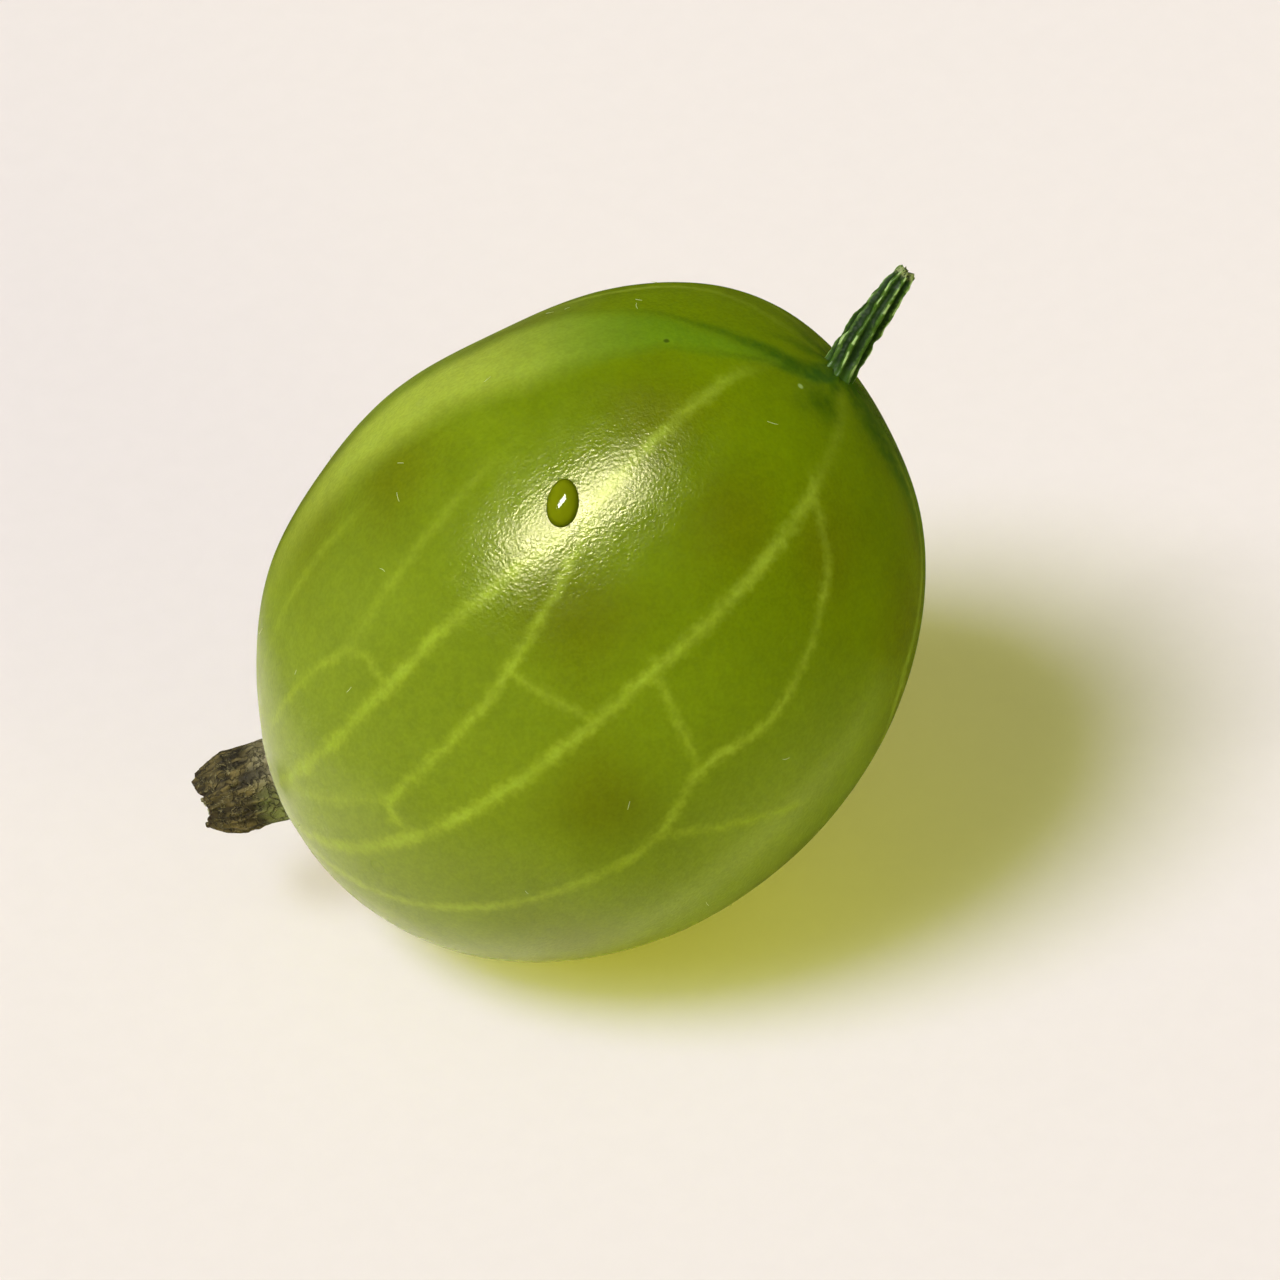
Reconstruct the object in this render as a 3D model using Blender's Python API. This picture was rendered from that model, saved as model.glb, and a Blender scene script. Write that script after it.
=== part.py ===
"""A green gooseberry lying on its side, with its stalk stub and its dried flower still on it.

Units are metres and +Z is up. The origin is the centre of the small flat spot that the fruit
rests on. The fruit's long axis lies in the XZ plane, with the stalk end raised towards +X.
"""

import math

import bmesh
import bpy
from mathutils import Matrix, Vector

MM = 0.001

# Fruit
FRUIT_LENGTH = 22.7 * MM
FRUIT_WIDTH = 19.2 * MM
FRUIT_TILT = math.radians(36)
FLAT_DEPTH = 0.55 * MM
FRUIT_MERIDIANS = 56
FRUIT_PARALLELS = 28

# Gentle hollows and swellings of the skin: azimuth, elevation, height and angular width
SWELLINGS = (
    (math.radians(21), math.radians(41), 0.30 * MM, math.radians(16)),
    (math.radians(82), math.radians(44), -0.34 * MM, math.radians(18)),
    (math.radians(140), math.radians(7), 0.20 * MM, math.radians(15)),
    (math.radians(-10), math.radians(23), -0.13 * MM, math.radians(12)),
)

# Where the two ends sit on the fruit, seen from its centre: azimuth and elevation
STALK_END = (math.radians(-10), math.radians(42.5))
FLOWER_END = (math.radians(161), math.radians(-23))

# The gap that separate pieces keep where they meet
JOIN_GAP = 0.3 * MM

# Stalk stub, which leans a little off the skin's normal and curves as it rises
STALK_LENGTH = 3.5 * MM
STALK_AIM = (math.radians(11), math.radians(48.5))
STALK_BOW = 0.1 * MM
STALK_RIDGES = 5
STALK_RIDGE_DEPTH = 0.11
STALK_RADII = ((0.0, 0.76 * MM), (0.08, 0.63 * MM), (0.3, 0.54 * MM), (0.7, 0.46 * MM), (1.0, 0.36 * MM))
STALK_STATIONS = 14

# Dried calyx: a short tube with five withered sepals round an open mouth
CALYX_LENGTH = 2.3 * MM
CALYX_AIM = (math.radians(153.5), math.radians(-18.5))
CALYX_FOOT_RADIUS = 1.34 * MM
CALYX_MOUTH_RADIUS = 0.84 * MM
CALYX_WALL = 0.24 * MM
CALYX_CUP_DEPTH = 1.15 * MM
CALYX_STEPS = 45
SEPALS = 5
SEPAL_NOTCH = 0.75 * MM
CRUMPLE_DEPTH = 0.06
CRUMPLE_FOLDS = 7

# Withered style and stamens, which stand in the calyx mouth
STYLE_LENGTH = 0.8 * MM
STYLE_BOW = 0.08 * MM
STYLE_RADII = ((0.0, 0.34 * MM), (0.35, 0.24 * MM), (0.8, 0.2 * MM), (1.0, 0.12 * MM))
STYLE_STATIONS = 9

# Finishes: linear base colour, roughness
FINISHES = {
    "berry": ((0.176, 0.231, 0.014), 0.32),
    "stalk": ((0.055, 0.125, 0.018), 0.5),
    "dried_calyx": ((0.066, 0.048, 0.022), 0.88),
    "withered_style": ((0.13, 0.1, 0.055), 0.9),
}


def direction(azimuth, elevation):
    """The unit vector that points this way from the fruit's centre."""
    level = math.cos(elevation)
    return Vector((level * math.cos(azimuth), level * math.sin(azimuth), math.sin(elevation)))


LONG_AXIS = direction(0.0, FRUIT_TILT)


def fruit_centre():
    """The fruit's centre, placed so that the middle of its flat spot is the origin."""
    half_length, half_width = FRUIT_LENGTH / 2, FRUIT_WIDTH / 2
    sine, cosine = math.sin(FRUIT_TILT), math.cos(FRUIT_TILT)
    depth = math.hypot(half_length * sine, half_width * cosine)
    lowest_offset = (half_length**2 - half_width**2) * sine * cosine / depth
    height = depth - FLAT_DEPTH
    return Vector((lowest_offset * height / depth, 0.0, height))


CENTRE = fruit_centre()


def skin_radius(way):
    """How far the skin is from the fruit's centre in this direction."""
    along = way.dot(LONG_AXIS)
    across = 1.0 - along * along
    radius = 1.0 / math.sqrt((2 * along / FRUIT_LENGTH) ** 2 + across * (2 / FRUIT_WIDTH) ** 2)
    for azimuth, elevation, height, width in SWELLINGS:
        radius += height * math.exp(-((way.angle(direction(azimuth, elevation)) / width) ** 2))
    return radius


def skin_point(way):
    """The point of the skin in this direction from the fruit's centre."""
    return CENTRE + way * skin_radius(way)


def upright(foot, aim):
    """The matrix that stands a piece modelled along +Z on a foot point, along this direction."""
    return Matrix.Translation(foot) @ aim.to_track_quat("Z", "Y").to_matrix().to_4x4()


def radius_at(stations, share):
    """A radius read between (share of the length, radius) stations."""
    for (low, first), (high, second) in zip(stations, stations[1:]):
        if share <= high:
            blend = (share - low) / (high - low)
            return first + (second - first) * blend
    return stations[-1][1]


def make_material(name):
    """The Principled material of the piece with this name."""
    colour, roughness = FINISHES[name]
    material = bpy.data.materials.new(name)
    material.use_nodes = True
    shader = material.node_tree.nodes["Principled BSDF"]
    shader.inputs["Base Color"].default_value = (*colour, 1.0)
    shader.inputs["Roughness"].default_value = roughness
    shader.inputs["Metallic"].default_value = 0.0
    return material


def add_piece(name, data, collection):
    """An object with this name and its own material, in the collection."""
    piece = bpy.data.objects.new(name, data)
    collection.objects.link(piece)
    data.materials.append(make_material(name))
    return piece


def mesh_from(bm, name):
    """A smooth-shaded mesh from a bmesh whose faces are turned outwards."""
    bmesh.ops.recalc_face_normals(bm, faces=bm.faces)
    mesh = bpy.data.meshes.new(name)
    bm.to_mesh(mesh)
    bm.free()
    mesh.shade_smooth()
    mesh.set_sharp_from_angle(angle=math.radians(40))
    return mesh


def build_berry(collection):
    """The fruit: a tilted ovoid, slightly uneven, cut flat where it rests."""
    bm = bmesh.new()
    lie = LONG_AXIS.to_track_quat("Z", "Y").to_matrix().to_4x4()
    bmesh.ops.create_uvsphere(
        bm, u_segments=FRUIT_MERIDIANS, v_segments=FRUIT_PARALLELS, radius=1.0, matrix=lie
    )
    for vert in bm.verts:
        vert.co = skin_point(vert.co.normalized())
    cut = bmesh.ops.bisect_plane(
        bm,
        geom=[*bm.verts, *bm.edges, *bm.faces],
        dist=0.02 * MM,
        plane_co=(0.0, 0.0, 0.0),
        plane_no=(0.0, 0.0, -1.0),
        clear_outer=True,
    )
    rim = [element for element in cut["geom_cut"] if isinstance(element, bmesh.types.BMEdge)]
    for vert in {end for edge in rim for end in edge.verts}:
        vert.co.z = 0.0
    bmesh.ops.contextual_create(bm, geom=rim)
    return add_piece("berry", mesh_from(bm, "berry"), collection)


def ridged_outline(collection):
    """The stalk's cross-section: a unit circle drawn out into low ridges."""
    outline = bpy.data.curves.new("stalk_outline", "CURVE")
    points_per_ridge = 6
    count = STALK_RIDGES * points_per_ridge
    spline = outline.splines.new("POLY")
    spline.points.add(count - 1)
    for index, point in enumerate(spline.points):
        turn = -2 * math.pi * index / count
        radius = 1.0 + STALK_RIDGE_DEPTH * math.cos(STALK_RIDGES * turn)
        point.co = (radius * math.cos(turn), radius * math.sin(turn), 0.0, 1.0)
    spline.use_cyclic_u = True
    guide = bpy.data.objects.new("stalk_outline", outline)
    guide.hide_render = True
    guide.display_type = "WIRE"
    collection.objects.link(guide)
    return guide


def stem_curve(name, length, bow, stations, count):
    """A tapered, slightly bowed curve that rises along +Z."""
    curve = bpy.data.curves.new(name, "CURVE")
    curve.dimensions = "3D"
    curve.use_fill_caps = True
    spline = curve.splines.new("POLY")
    spline.points.add(count - 1)
    for index, point in enumerate(spline.points):
        share = index / (count - 1)
        point.co = (bow * math.sin(math.pi * share), 0.0, length * share, 1.0)
        point.radius = radius_at(stations, share)
    return curve


def build_stalk(collection, guides):
    """The stalk stub: a ridged stem that widens where it meets the skin."""
    curve = stem_curve("stalk", STALK_LENGTH, STALK_BOW, STALK_RADII, STALK_STATIONS)
    curve.bevel_mode = "OBJECT"
    curve.bevel_object = ridged_outline(guides)
    stalk = add_piece("stalk", curve, collection)
    end, aim = direction(*STALK_END), direction(*STALK_AIM)
    stalk.matrix_world = upright(skin_point(end) + end * JOIN_GAP, aim)
    return stalk


def calyx_profile():
    """The calyx's half section as (radius, height, share of the sepal shape) from axis to axis."""
    inner_mouth = CALYX_MOUTH_RADIUS - CALYX_WALL
    floor = CALYX_LENGTH - CALYX_CUP_DEPTH
    return (
        (0.0, 0.0, 0.0),
        (0.6 * CALYX_FOOT_RADIUS, 0.0, 0.0),
        (CALYX_FOOT_RADIUS, 0.0, 0.0),
        (1.02 * CALYX_FOOT_RADIUS, 0.16 * CALYX_LENGTH, 0.0),
        (0.97 * CALYX_FOOT_RADIUS, 0.38 * CALYX_LENGTH, 0.1),
        (1.45 * CALYX_MOUTH_RADIUS, 0.6 * CALYX_LENGTH, 0.4),
        (1.27 * CALYX_MOUTH_RADIUS, 0.82 * CALYX_LENGTH, 0.8),
        (CALYX_MOUTH_RADIUS, CALYX_LENGTH, 1.0),
        (inner_mouth, CALYX_LENGTH, 1.0),
        (1.15 * inner_mouth, 0.78 * CALYX_LENGTH, 0.7),
        (0.92 * inner_mouth, floor + 0.1 * CALYX_LENGTH, 0.15),
        (0.6 * inner_mouth, floor, 0.0),
        (0.0, floor, 0.0),
    )


def crumple_calyx(point, share):
    """Folds a point of the turned calyx in or out, and lowers it where two sepals part."""
    turn = math.atan2(point.y, point.x)
    fold = math.sin(CRUMPLE_FOLDS * turn + point.z / MM) * min(1.0, 0.3 + 2 * share)
    notch = (0.5 - 0.5 * math.cos(SEPALS * turn)) ** 2
    point.xy *= 1.0 + CRUMPLE_DEPTH * fold
    point.z -= SEPAL_NOTCH * share * share * notch


def build_calyx(collection):
    """The dried calyx: a crumpled cup whose rim is notched into sepals."""
    bm = bmesh.new()
    share_layer = bm.verts.layers.float.new("sepal_share")
    section = []
    for radius, height, share in calyx_profile():
        vert = bm.verts.new((radius, 0.0, height))
        vert[share_layer] = share
        section.append(vert)
    edges = [bm.edges.new(pair) for pair in zip(section, section[1:])]
    bmesh.ops.spin(
        bm,
        geom=[*section, *edges],
        cent=(0.0, 0.0, 0.0),
        axis=(0.0, 0.0, 1.0),
        angle=2 * math.pi,
        steps=CALYX_STEPS,
        use_merge=True,
    )
    bmesh.ops.remove_doubles(bm, verts=bm.verts, dist=0.01 * MM)
    for vert in bm.verts:
        crumple_calyx(vert.co, vert[share_layer])
    calyx = add_piece("dried_calyx", mesh_from(bm, "dried_calyx"), collection)
    end, aim = direction(*FLOWER_END), direction(*CALYX_AIM)
    calyx.matrix_world = upright(skin_point(end) + end * JOIN_GAP, aim)
    return calyx


def build_style(collection, calyx):
    """The withered style and stamens: one bent, tapering stub that stands on the cup's floor."""
    curve = stem_curve("withered_style", STYLE_LENGTH, STYLE_BOW, STYLE_RADII, STYLE_STATIONS)
    curve.bevel_depth = 1.0
    curve.bevel_resolution = 3
    style = add_piece("withered_style", curve, collection)
    floor = CALYX_LENGTH - CALYX_CUP_DEPTH
    style.parent = calyx
    style.location = (0.0, 0.0, floor + JOIN_GAP)
    return style


def clear_scene():
    """Removes what the scene starts with."""
    for obj in list(bpy.data.objects):
        bpy.data.objects.remove(obj, do_unlink=True)


def new_collection(name):
    """A collection of the scene, for the pieces or for their guides."""
    collection = bpy.data.collections.new(name)
    bpy.context.scene.collection.children.link(collection)
    return collection


def main():
    """Builds the gooseberry's pieces where they lie."""
    clear_scene()
    pieces = new_collection("gooseberry")
    guides = new_collection("guides")
    guides.hide_render = True
    build_berry(pieces)
    build_stalk(pieces, guides)
    build_style(pieces, build_calyx(pieces))


main()
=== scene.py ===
"""The looks of a green gooseberry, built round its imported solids.

The fruit lies on its side with its stalk end raised towards +X and its dried flower low at -X.
Lengths are in metres, +Z is up, and the origin is the middle of the flat spot the fruit rests on.
"""

import logging
import math
from dataclasses import dataclass, field
from enum import Enum

import bmesh
import bpy
import numpy as np
from mathutils import Matrix, Vector, kdtree, noise


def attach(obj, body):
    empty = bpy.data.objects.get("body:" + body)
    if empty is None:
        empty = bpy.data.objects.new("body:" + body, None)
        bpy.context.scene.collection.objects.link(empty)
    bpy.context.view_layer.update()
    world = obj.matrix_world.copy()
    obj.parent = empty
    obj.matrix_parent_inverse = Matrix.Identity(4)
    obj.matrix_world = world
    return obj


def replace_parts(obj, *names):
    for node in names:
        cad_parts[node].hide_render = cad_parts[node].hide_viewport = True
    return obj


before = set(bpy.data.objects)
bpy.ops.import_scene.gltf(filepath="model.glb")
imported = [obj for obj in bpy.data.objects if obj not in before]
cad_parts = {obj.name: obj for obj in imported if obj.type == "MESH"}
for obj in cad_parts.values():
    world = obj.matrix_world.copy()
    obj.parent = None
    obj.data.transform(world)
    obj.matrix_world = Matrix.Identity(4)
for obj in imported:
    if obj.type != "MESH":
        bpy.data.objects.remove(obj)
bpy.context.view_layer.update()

MM = 0.001
ROOT = "root"
PLEATS = 9  # creases that run out over the skin from the stalk
LOG = logging.getLogger("gooseberry")

Colour = tuple[float, float, float]
Knots = tuple[tuple[float, float], ...]


def srgb(red: int, green: int, blue: int) -> Colour:
    """Turns a display colour into the linear one that shaders use.

    Args:
        red: The red level, from 0 to 255.
        green: The green level, from 0 to 255.
        blue: The blue level, from 0 to 255.

    Returns:
        The linear colour.
    """
    levels = (level / 255 for level in (red, green, blue))
    return tuple(c / 12.92 if c <= 0.04045 else ((c + 0.055) / 1.055) ** 2.4 for c in levels)


def unit(vectors: np.ndarray) -> np.ndarray:
    """Scales each vector to a length of one.

    Args:
        vectors: One vector, or one to a row.

    Returns:
        The same vectors, each of length one.
    """
    return vectors / np.linalg.norm(vectors, axis=-1, keepdims=True)


def smooth_step(values: np.ndarray, low: float, high: float) -> np.ndarray:
    """Rises smoothly from 0 to 1 as the values go from low to high.

    Args:
        values: The values to read.
        low: Where the rise starts.
        high: Where the rise ends.

    Returns:
        A share for each value.
    """
    share = np.clip((values - low) / (high - low), 0.0, 1.0)
    return share * share * (3.0 - 2.0 * share)


def grain_at(points: np.ndarray, wavelength: float, seed: float = 0.0) -> np.ndarray:
    """Reads smooth noise at each point.

    Args:
        points: The points, one to a row, in metres.
        wavelength: The size of the noise's lumps, in metres.
        seed: An offset that picks another pattern.

    Returns:
        A value of about -1 to 1 for each point.
    """
    shifted = points / wavelength + seed
    return np.array([noise.noise(point) for point in shifted.tolist()])


@dataclass(frozen=True)
class Bearing:
    """A direction: degrees round from +X towards +Y, and degrees above the table."""

    azimuth: float
    elevation: float

    def way(self) -> np.ndarray:
        """Works out the unit vector of this direction.

        Returns:
            The vector.
        """
        turn, rise = math.radians(self.azimuth), math.radians(self.elevation)
        level = math.cos(rise)
        return np.array([level * math.cos(turn), level * math.sin(turn), math.sin(rise)])


@dataclass(frozen=True)
class Swelling:
    """A gentle swelling of the fruit, or a hollow where its height is negative."""

    towards: Bearing
    height: float
    width: float


@dataclass(frozen=True)
class FruitShape:
    """The fruit's form: a tilted ovoid with gentle swellings, pressed flat where it rests."""

    length: float = 22.7 * MM
    width: float = 19.2 * MM
    tilt: float = 36.0
    flat_depth: float = 0.55 * MM
    flat_rounding: float = 0.12 * MM
    stalk_end: Bearing = Bearing(-10, 42.5)
    flower_end: Bearing = Bearing(161, -23)
    swellings: tuple[Swelling, ...] = (
        Swelling(Bearing(21, 41), 0.30 * MM, 16),
        Swelling(Bearing(82, 44), -0.34 * MM, 18),
        Swelling(Bearing(140, 7), 0.20 * MM, 15),
        Swelling(Bearing(-10, 23), -0.13 * MM, 12),
    )

    def long_axis(self) -> np.ndarray:
        """Returns the unit vector along the fruit, towards its stalk end."""
        return Bearing(0, self.tilt).way()

    def centre(self) -> np.ndarray:
        """Places the fruit so that its flat spot is centred on the origin.

        Returns:
            The fruit's centre.
        """
        sine, cosine = math.sin(math.radians(self.tilt)), math.cos(math.radians(self.tilt))
        depth = math.hypot(self.length / 2 * sine, self.width / 2 * cosine)
        offset = ((self.length / 2) ** 2 - (self.width / 2) ** 2) * sine * cosine / depth
        height = depth - self.flat_depth
        return np.array([offset * height / depth, 0.0, height])

    def radius(self, ways: np.ndarray) -> np.ndarray:
        """Measures from the fruit's centre to its skin.

        Args:
            ways: Unit vectors from the centre, one to a row.

        Returns:
            The distance each way.
        """
        along = ways @ self.long_axis()
        across = 1.0 - along * along
        radius = 1.0 / np.sqrt((2 * along / self.length) ** 2 + across * (2 / self.width) ** 2)
        for swelling in self.swellings:
            angle = np.arccos(np.clip(ways @ swelling.towards.way(), -1.0, 1.0))
            radius = radius + swelling.height * np.exp(-((angle / math.radians(swelling.width)) ** 2))
        return radius

    def points(self, ways: np.ndarray, lift: float | np.ndarray = 0.0) -> np.ndarray:
        """Finds points on or above the skin.

        Args:
            ways: Unit vectors from the centre, one to a row.
            lift: How far above the skin, in metres.

        Returns:
            The points, one to a row.
        """
        return self.centre() + ways * (self.radius(ways) + lift)[:, None]

    def point(self, way: np.ndarray, lift: float = 0.0) -> Vector:
        """Finds one point on or above the skin.

        Args:
            way: A unit vector from the centre.
            lift: How far above the skin, in metres.

        Returns:
            The point.
        """
        return Vector(self.points(way[None, :], lift)[0])

    def normal(self, way: np.ndarray) -> Vector:
        """Finds the direction that the skin faces.

        Args:
            way: A unit vector from the centre.

        Returns:
            The skin's outward normal there.
        """
        step = 0.01
        aside = unit(np.cross(way, self.long_axis() + 0.1))
        over = np.cross(way, aside)
        ring = unit(np.array([way + step * aside, way - step * aside, way + step * over, way - step * over]))
        skin = self.points(ring)
        facing = unit(np.cross(skin[0] - skin[1], skin[2] - skin[3]))
        return Vector(facing * np.sign(facing @ way))


class SkinMap:
    """Places on the skin, by a longitude round the fruit and a share of the way to the stalk.

    Each longitude is an arc from the dried flower (share 0) to the stalk (share 1).
    """

    def __init__(self, shape: FruitShape) -> None:
        """Sets the map out between the two ends of the fruit.

        Args:
            shape: The fruit's form.
        """
        self.flower = shape.flower_end.way()
        self.stalk = shape.stalk_end.way()
        self.middle = (self.flower + self.stalk) / 2
        self.line = unit(self.stalk - self.flower)
        front = np.array([0.0, -1.0, 0.0])
        self.front = unit(front - self.line * (front @ self.line))
        self.side = np.cross(self.line, self.front)

    def _arc(self, longitude: np.ndarray) -> tuple[np.ndarray, ...]:
        """Finds the arcs of the given longitudes.

        Args:
            longitude: Longitudes in radians.

        Returns:
            Each arc's outward vector, centre, radius, and its angles at the flower and the stalk.
        """
        outward = np.cos(longitude)[:, None] * self.front + np.sin(longitude)[:, None] * self.side
        facing = np.cross(self.line, outward)
        centre = facing * (facing @ self.middle)[:, None]
        radius = np.sqrt(1.0 - np.sum(centre * centre, axis=1))
        low, high = (self._angle(end, centre, outward) for end in (self.flower, self.stalk))
        return outward, centre, radius, low, high

    def _angle(self, way: np.ndarray, centre: np.ndarray, outward: np.ndarray) -> np.ndarray:
        """Returns the angle of a direction on its arc."""
        leg = way - centre
        return np.arctan2(leg @ self.line, np.sum(leg * outward, axis=1))

    def ways(self, longitudes: np.ndarray, shares: np.ndarray) -> np.ndarray:
        """Turns places on the skin into directions from the fruit's centre.

        Args:
            longitudes: Degrees round the fruit.
            shares: Shares of the way from flower to stalk.

        Returns:
            Unit vectors, one to a row.
        """
        outward, centre, radius, low, high = self._arc(np.radians(longitudes))
        angle = low + (high - low) * shares
        reach = np.cos(angle)[:, None] * outward + np.sin(angle)[:, None] * self.line
        return centre + radius[:, None] * reach

    def way(self, longitude: float, share: float) -> np.ndarray:
        """Returns the direction of one place on the skin."""
        return self.ways(np.array([longitude]), np.array([share]))[0]

    def places(self, ways: np.ndarray) -> tuple[np.ndarray, np.ndarray]:
        """Turns directions into places on the skin.

        Args:
            ways: Unit vectors from the fruit's centre, one to a row.

        Returns:
            The longitudes in degrees, and the shares.
        """
        leg = ways - self.middle
        longitude = np.arctan2(leg @ self.side, leg @ self.front)
        outward, centre, _, low, high = self._arc(longitude)
        return np.degrees(longitude), (self._angle(ways, centre, outward) - low) / (high - low)


class VeinRank(Enum):
    """How strong a vein shows, as (half width in millimetres, strength).

    Veins of one rank never meet, so each rank keeps its own distances.
    """

    MAIN = (0.33, 1.0)
    BRANCH = (0.28, 0.9)
    FAINT = (0.26, 0.6)
    TRACE = (0.30, 0.4)


@dataclass(frozen=True)
class Vein:
    """A vein's route as a few (longitude, share) knots."""

    rank: VeinRank
    knots: Knots


@dataclass(frozen=True)
class VeinNet:
    """The pale veins under the skin: the near side's from lists of knots, the far side's by rule."""

    near: tuple[Vein, ...] = (
        Vein(VeinRank.MAIN, ((-17, 0.0), (-24, 0.3), (-28, 0.55), (-26, 0.8), (-22, 1.0))),
        Vein(
            VeinRank.BRANCH,
            ((-26, 0.84), (-10, 0.78), (-3, 0.65), (-7, 0.55), (-1, 0.45), (-2, 0.25), (-8, 0.05)),
        ),
        Vein(VeinRank.FAINT, ((-27, 0.58), (-8, 0.55))),
        Vein(VeinRank.FAINT, ((-1, 0.48), (9, 0.54), (19, 0.59))),
        Vein(VeinRank.MAIN, ((-49, 0.0), (-52, 0.2), (-59, 0.4), (-62, 0.6), (-70, 0.75), (-84, 0.9))),
        Vein(VeinRank.BRANCH, ((-25, 0.26), (-34, 0.27), (-43, 0.43), (-54, 0.57), (-65, 0.66))),
        Vein(VeinRank.TRACE, ((-34, 0.27), (-37, 0.2), (-47, 0.1))),
        Vein(VeinRank.FAINT, ((-44, 0.46), (-28, 0.5))),
        Vein(VeinRank.FAINT, ((-57, 0.33), (-70, 0.3), (-78, 0.12))),
        Vein(VeinRank.TRACE, ((-70, 0.3), (-78, 0.44), (-86, 0.58))),
        Vein(VeinRank.TRACE, ((-102, 0.15), (-99, 0.4))),
    )
    far_longitudes: tuple[float, ...] = (42, 66, 91, 116, 141, 166, 190, 213)
    far_knots: int = 9
    far_wander: float = 5.0
    sample_step: float = 0.004
    degrees_per_share: float = 160.0
    wander: float = 0.05 * MM
    seed: int = 7

    def veins(self) -> list[Vein]:
        """Lists the veins, the far side's laid out by rule from the seed.

        Returns:
            Every vein.
        """
        rng = np.random.default_rng(self.seed)
        found = list(self.near)
        ranks = (VeinRank.MAIN, VeinRank.BRANCH)
        for index, longitude in enumerate(self.far_longitudes):
            shares = np.linspace(0.04, 0.96, self.far_knots)
            drift = rng.uniform(-self.far_wander, self.far_wander, self.far_knots)
            knots = tuple(zip((longitude + drift).tolist(), shares.tolist()))
            found.append(Vein(ranks[index % 2], knots))
            if index + 1 == len(self.far_longitudes):
                break
            beside = self.far_longitudes[index + 1]
            for rank, low, high in ((VeinRank.FAINT, 1, 4), (VeinRank.TRACE, 4, 7)):
                first = knots[int(rng.integers(low, high))]
                rise = rng.choice((-1, 1)) * rng.uniform(0.05, 0.12)
                halfway = ((first[0] + beside) / 2 + 2, first[1] + rise * rng.uniform(0.2, 0.8))
                found.append(Vein(rank, (first, halfway, (beside, first[1] + rise))))
        return found

    def route(self, knots: Knots) -> tuple[np.ndarray, np.ndarray]:
        """Runs a smooth line through a vein's knots.

        Args:
            knots: The (longitude, share) knots.

        Returns:
            The longitudes and the shares along the line.
        """
        ends = [tuple(2 * a - b for a, b in zip(knots[0], knots[1]))]
        ends += [*knots, tuple(2 * a - b for a, b in zip(knots[-1], knots[-2]))]
        legs = []
        for before, start, stop, after in zip(ends, ends[1:], ends[2:], ends[3:]):
            p0, p1, p2, p3 = (np.array(p) for p in (before, start, stop, after))
            span = math.hypot((p2[0] - p1[0]) / self.degrees_per_share, p2[1] - p1[1])
            t = np.linspace(0.0, 1.0, max(4, int(span / self.sample_step)), endpoint=False)[:, None]
            bend = 2 * p0 - 5 * p1 + 4 * p2 - p3
            twist = 3 * p1 - p0 - 3 * p2 + p3
            legs.append(0.5 * (2 * p1 + (p2 - p0) * t + bend * t * t + twist * t**3))
        line = np.concatenate(legs)
        return line[:, 0], line[:, 1]


@dataclass(frozen=True)
class Lines:
    """Lines on the skin as close samples: where they are, which way they run, and their strength."""

    points: np.ndarray
    along: np.ndarray
    strength: np.ndarray

    def measure(self, points: np.ndarray, outward: np.ndarray) -> tuple[np.ndarray, np.ndarray, np.ndarray]:
        """Measures from points on the skin to the lines.

        Args:
            points: The skin's points, one to a row.
            outward: The skin's outward direction at each of them.

        Returns:
            The distance across the nearest line, signed by its side, the distance to its nearest
            sample, both in millimetres, and the line's strength there.
        """
        tree = kdtree.KDTree(len(self.points))
        for index, point in enumerate(self.points.tolist()):
            tree.insert(point, index)
        tree.balance()
        nearest = np.array([tree.find(point)[1] for point in points.tolist()])
        leg = points - self.points[nearest]
        across = np.sum(np.cross(self.along[nearest], leg) * outward, axis=1)
        return across / MM, np.linalg.norm(leg, axis=1) / MM, self.strength[nearest]


@dataclass(frozen=True)
class SeedBand:
    """A bright band where the seeds hang inside the fruit, with a dark green thread along its first edge.

    Each edge is a few (share, longitude) knots.
    """

    first_edge: Knots
    second_edge: Knots

    def inside(self, longitudes: np.ndarray, shares: np.ndarray) -> tuple[np.ndarray, np.ndarray]:
        """Measures how far inside each edge a place is.

        Args:
            longitudes: The places' longitudes, in degrees.
            shares: Their shares of the way to the stalk.

        Returns:
            The degrees from the first edge and from the second, both positive inside the band.
        """
        first = np.interp(shares, *zip(*self.first_edge))
        second = np.interp(shares, *zip(*self.second_edge))
        turn = (longitudes - (first + second) / 2 + 180) % 360 - 180
        half = (second - first) / 2
        return turn + half, half - turn


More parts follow.
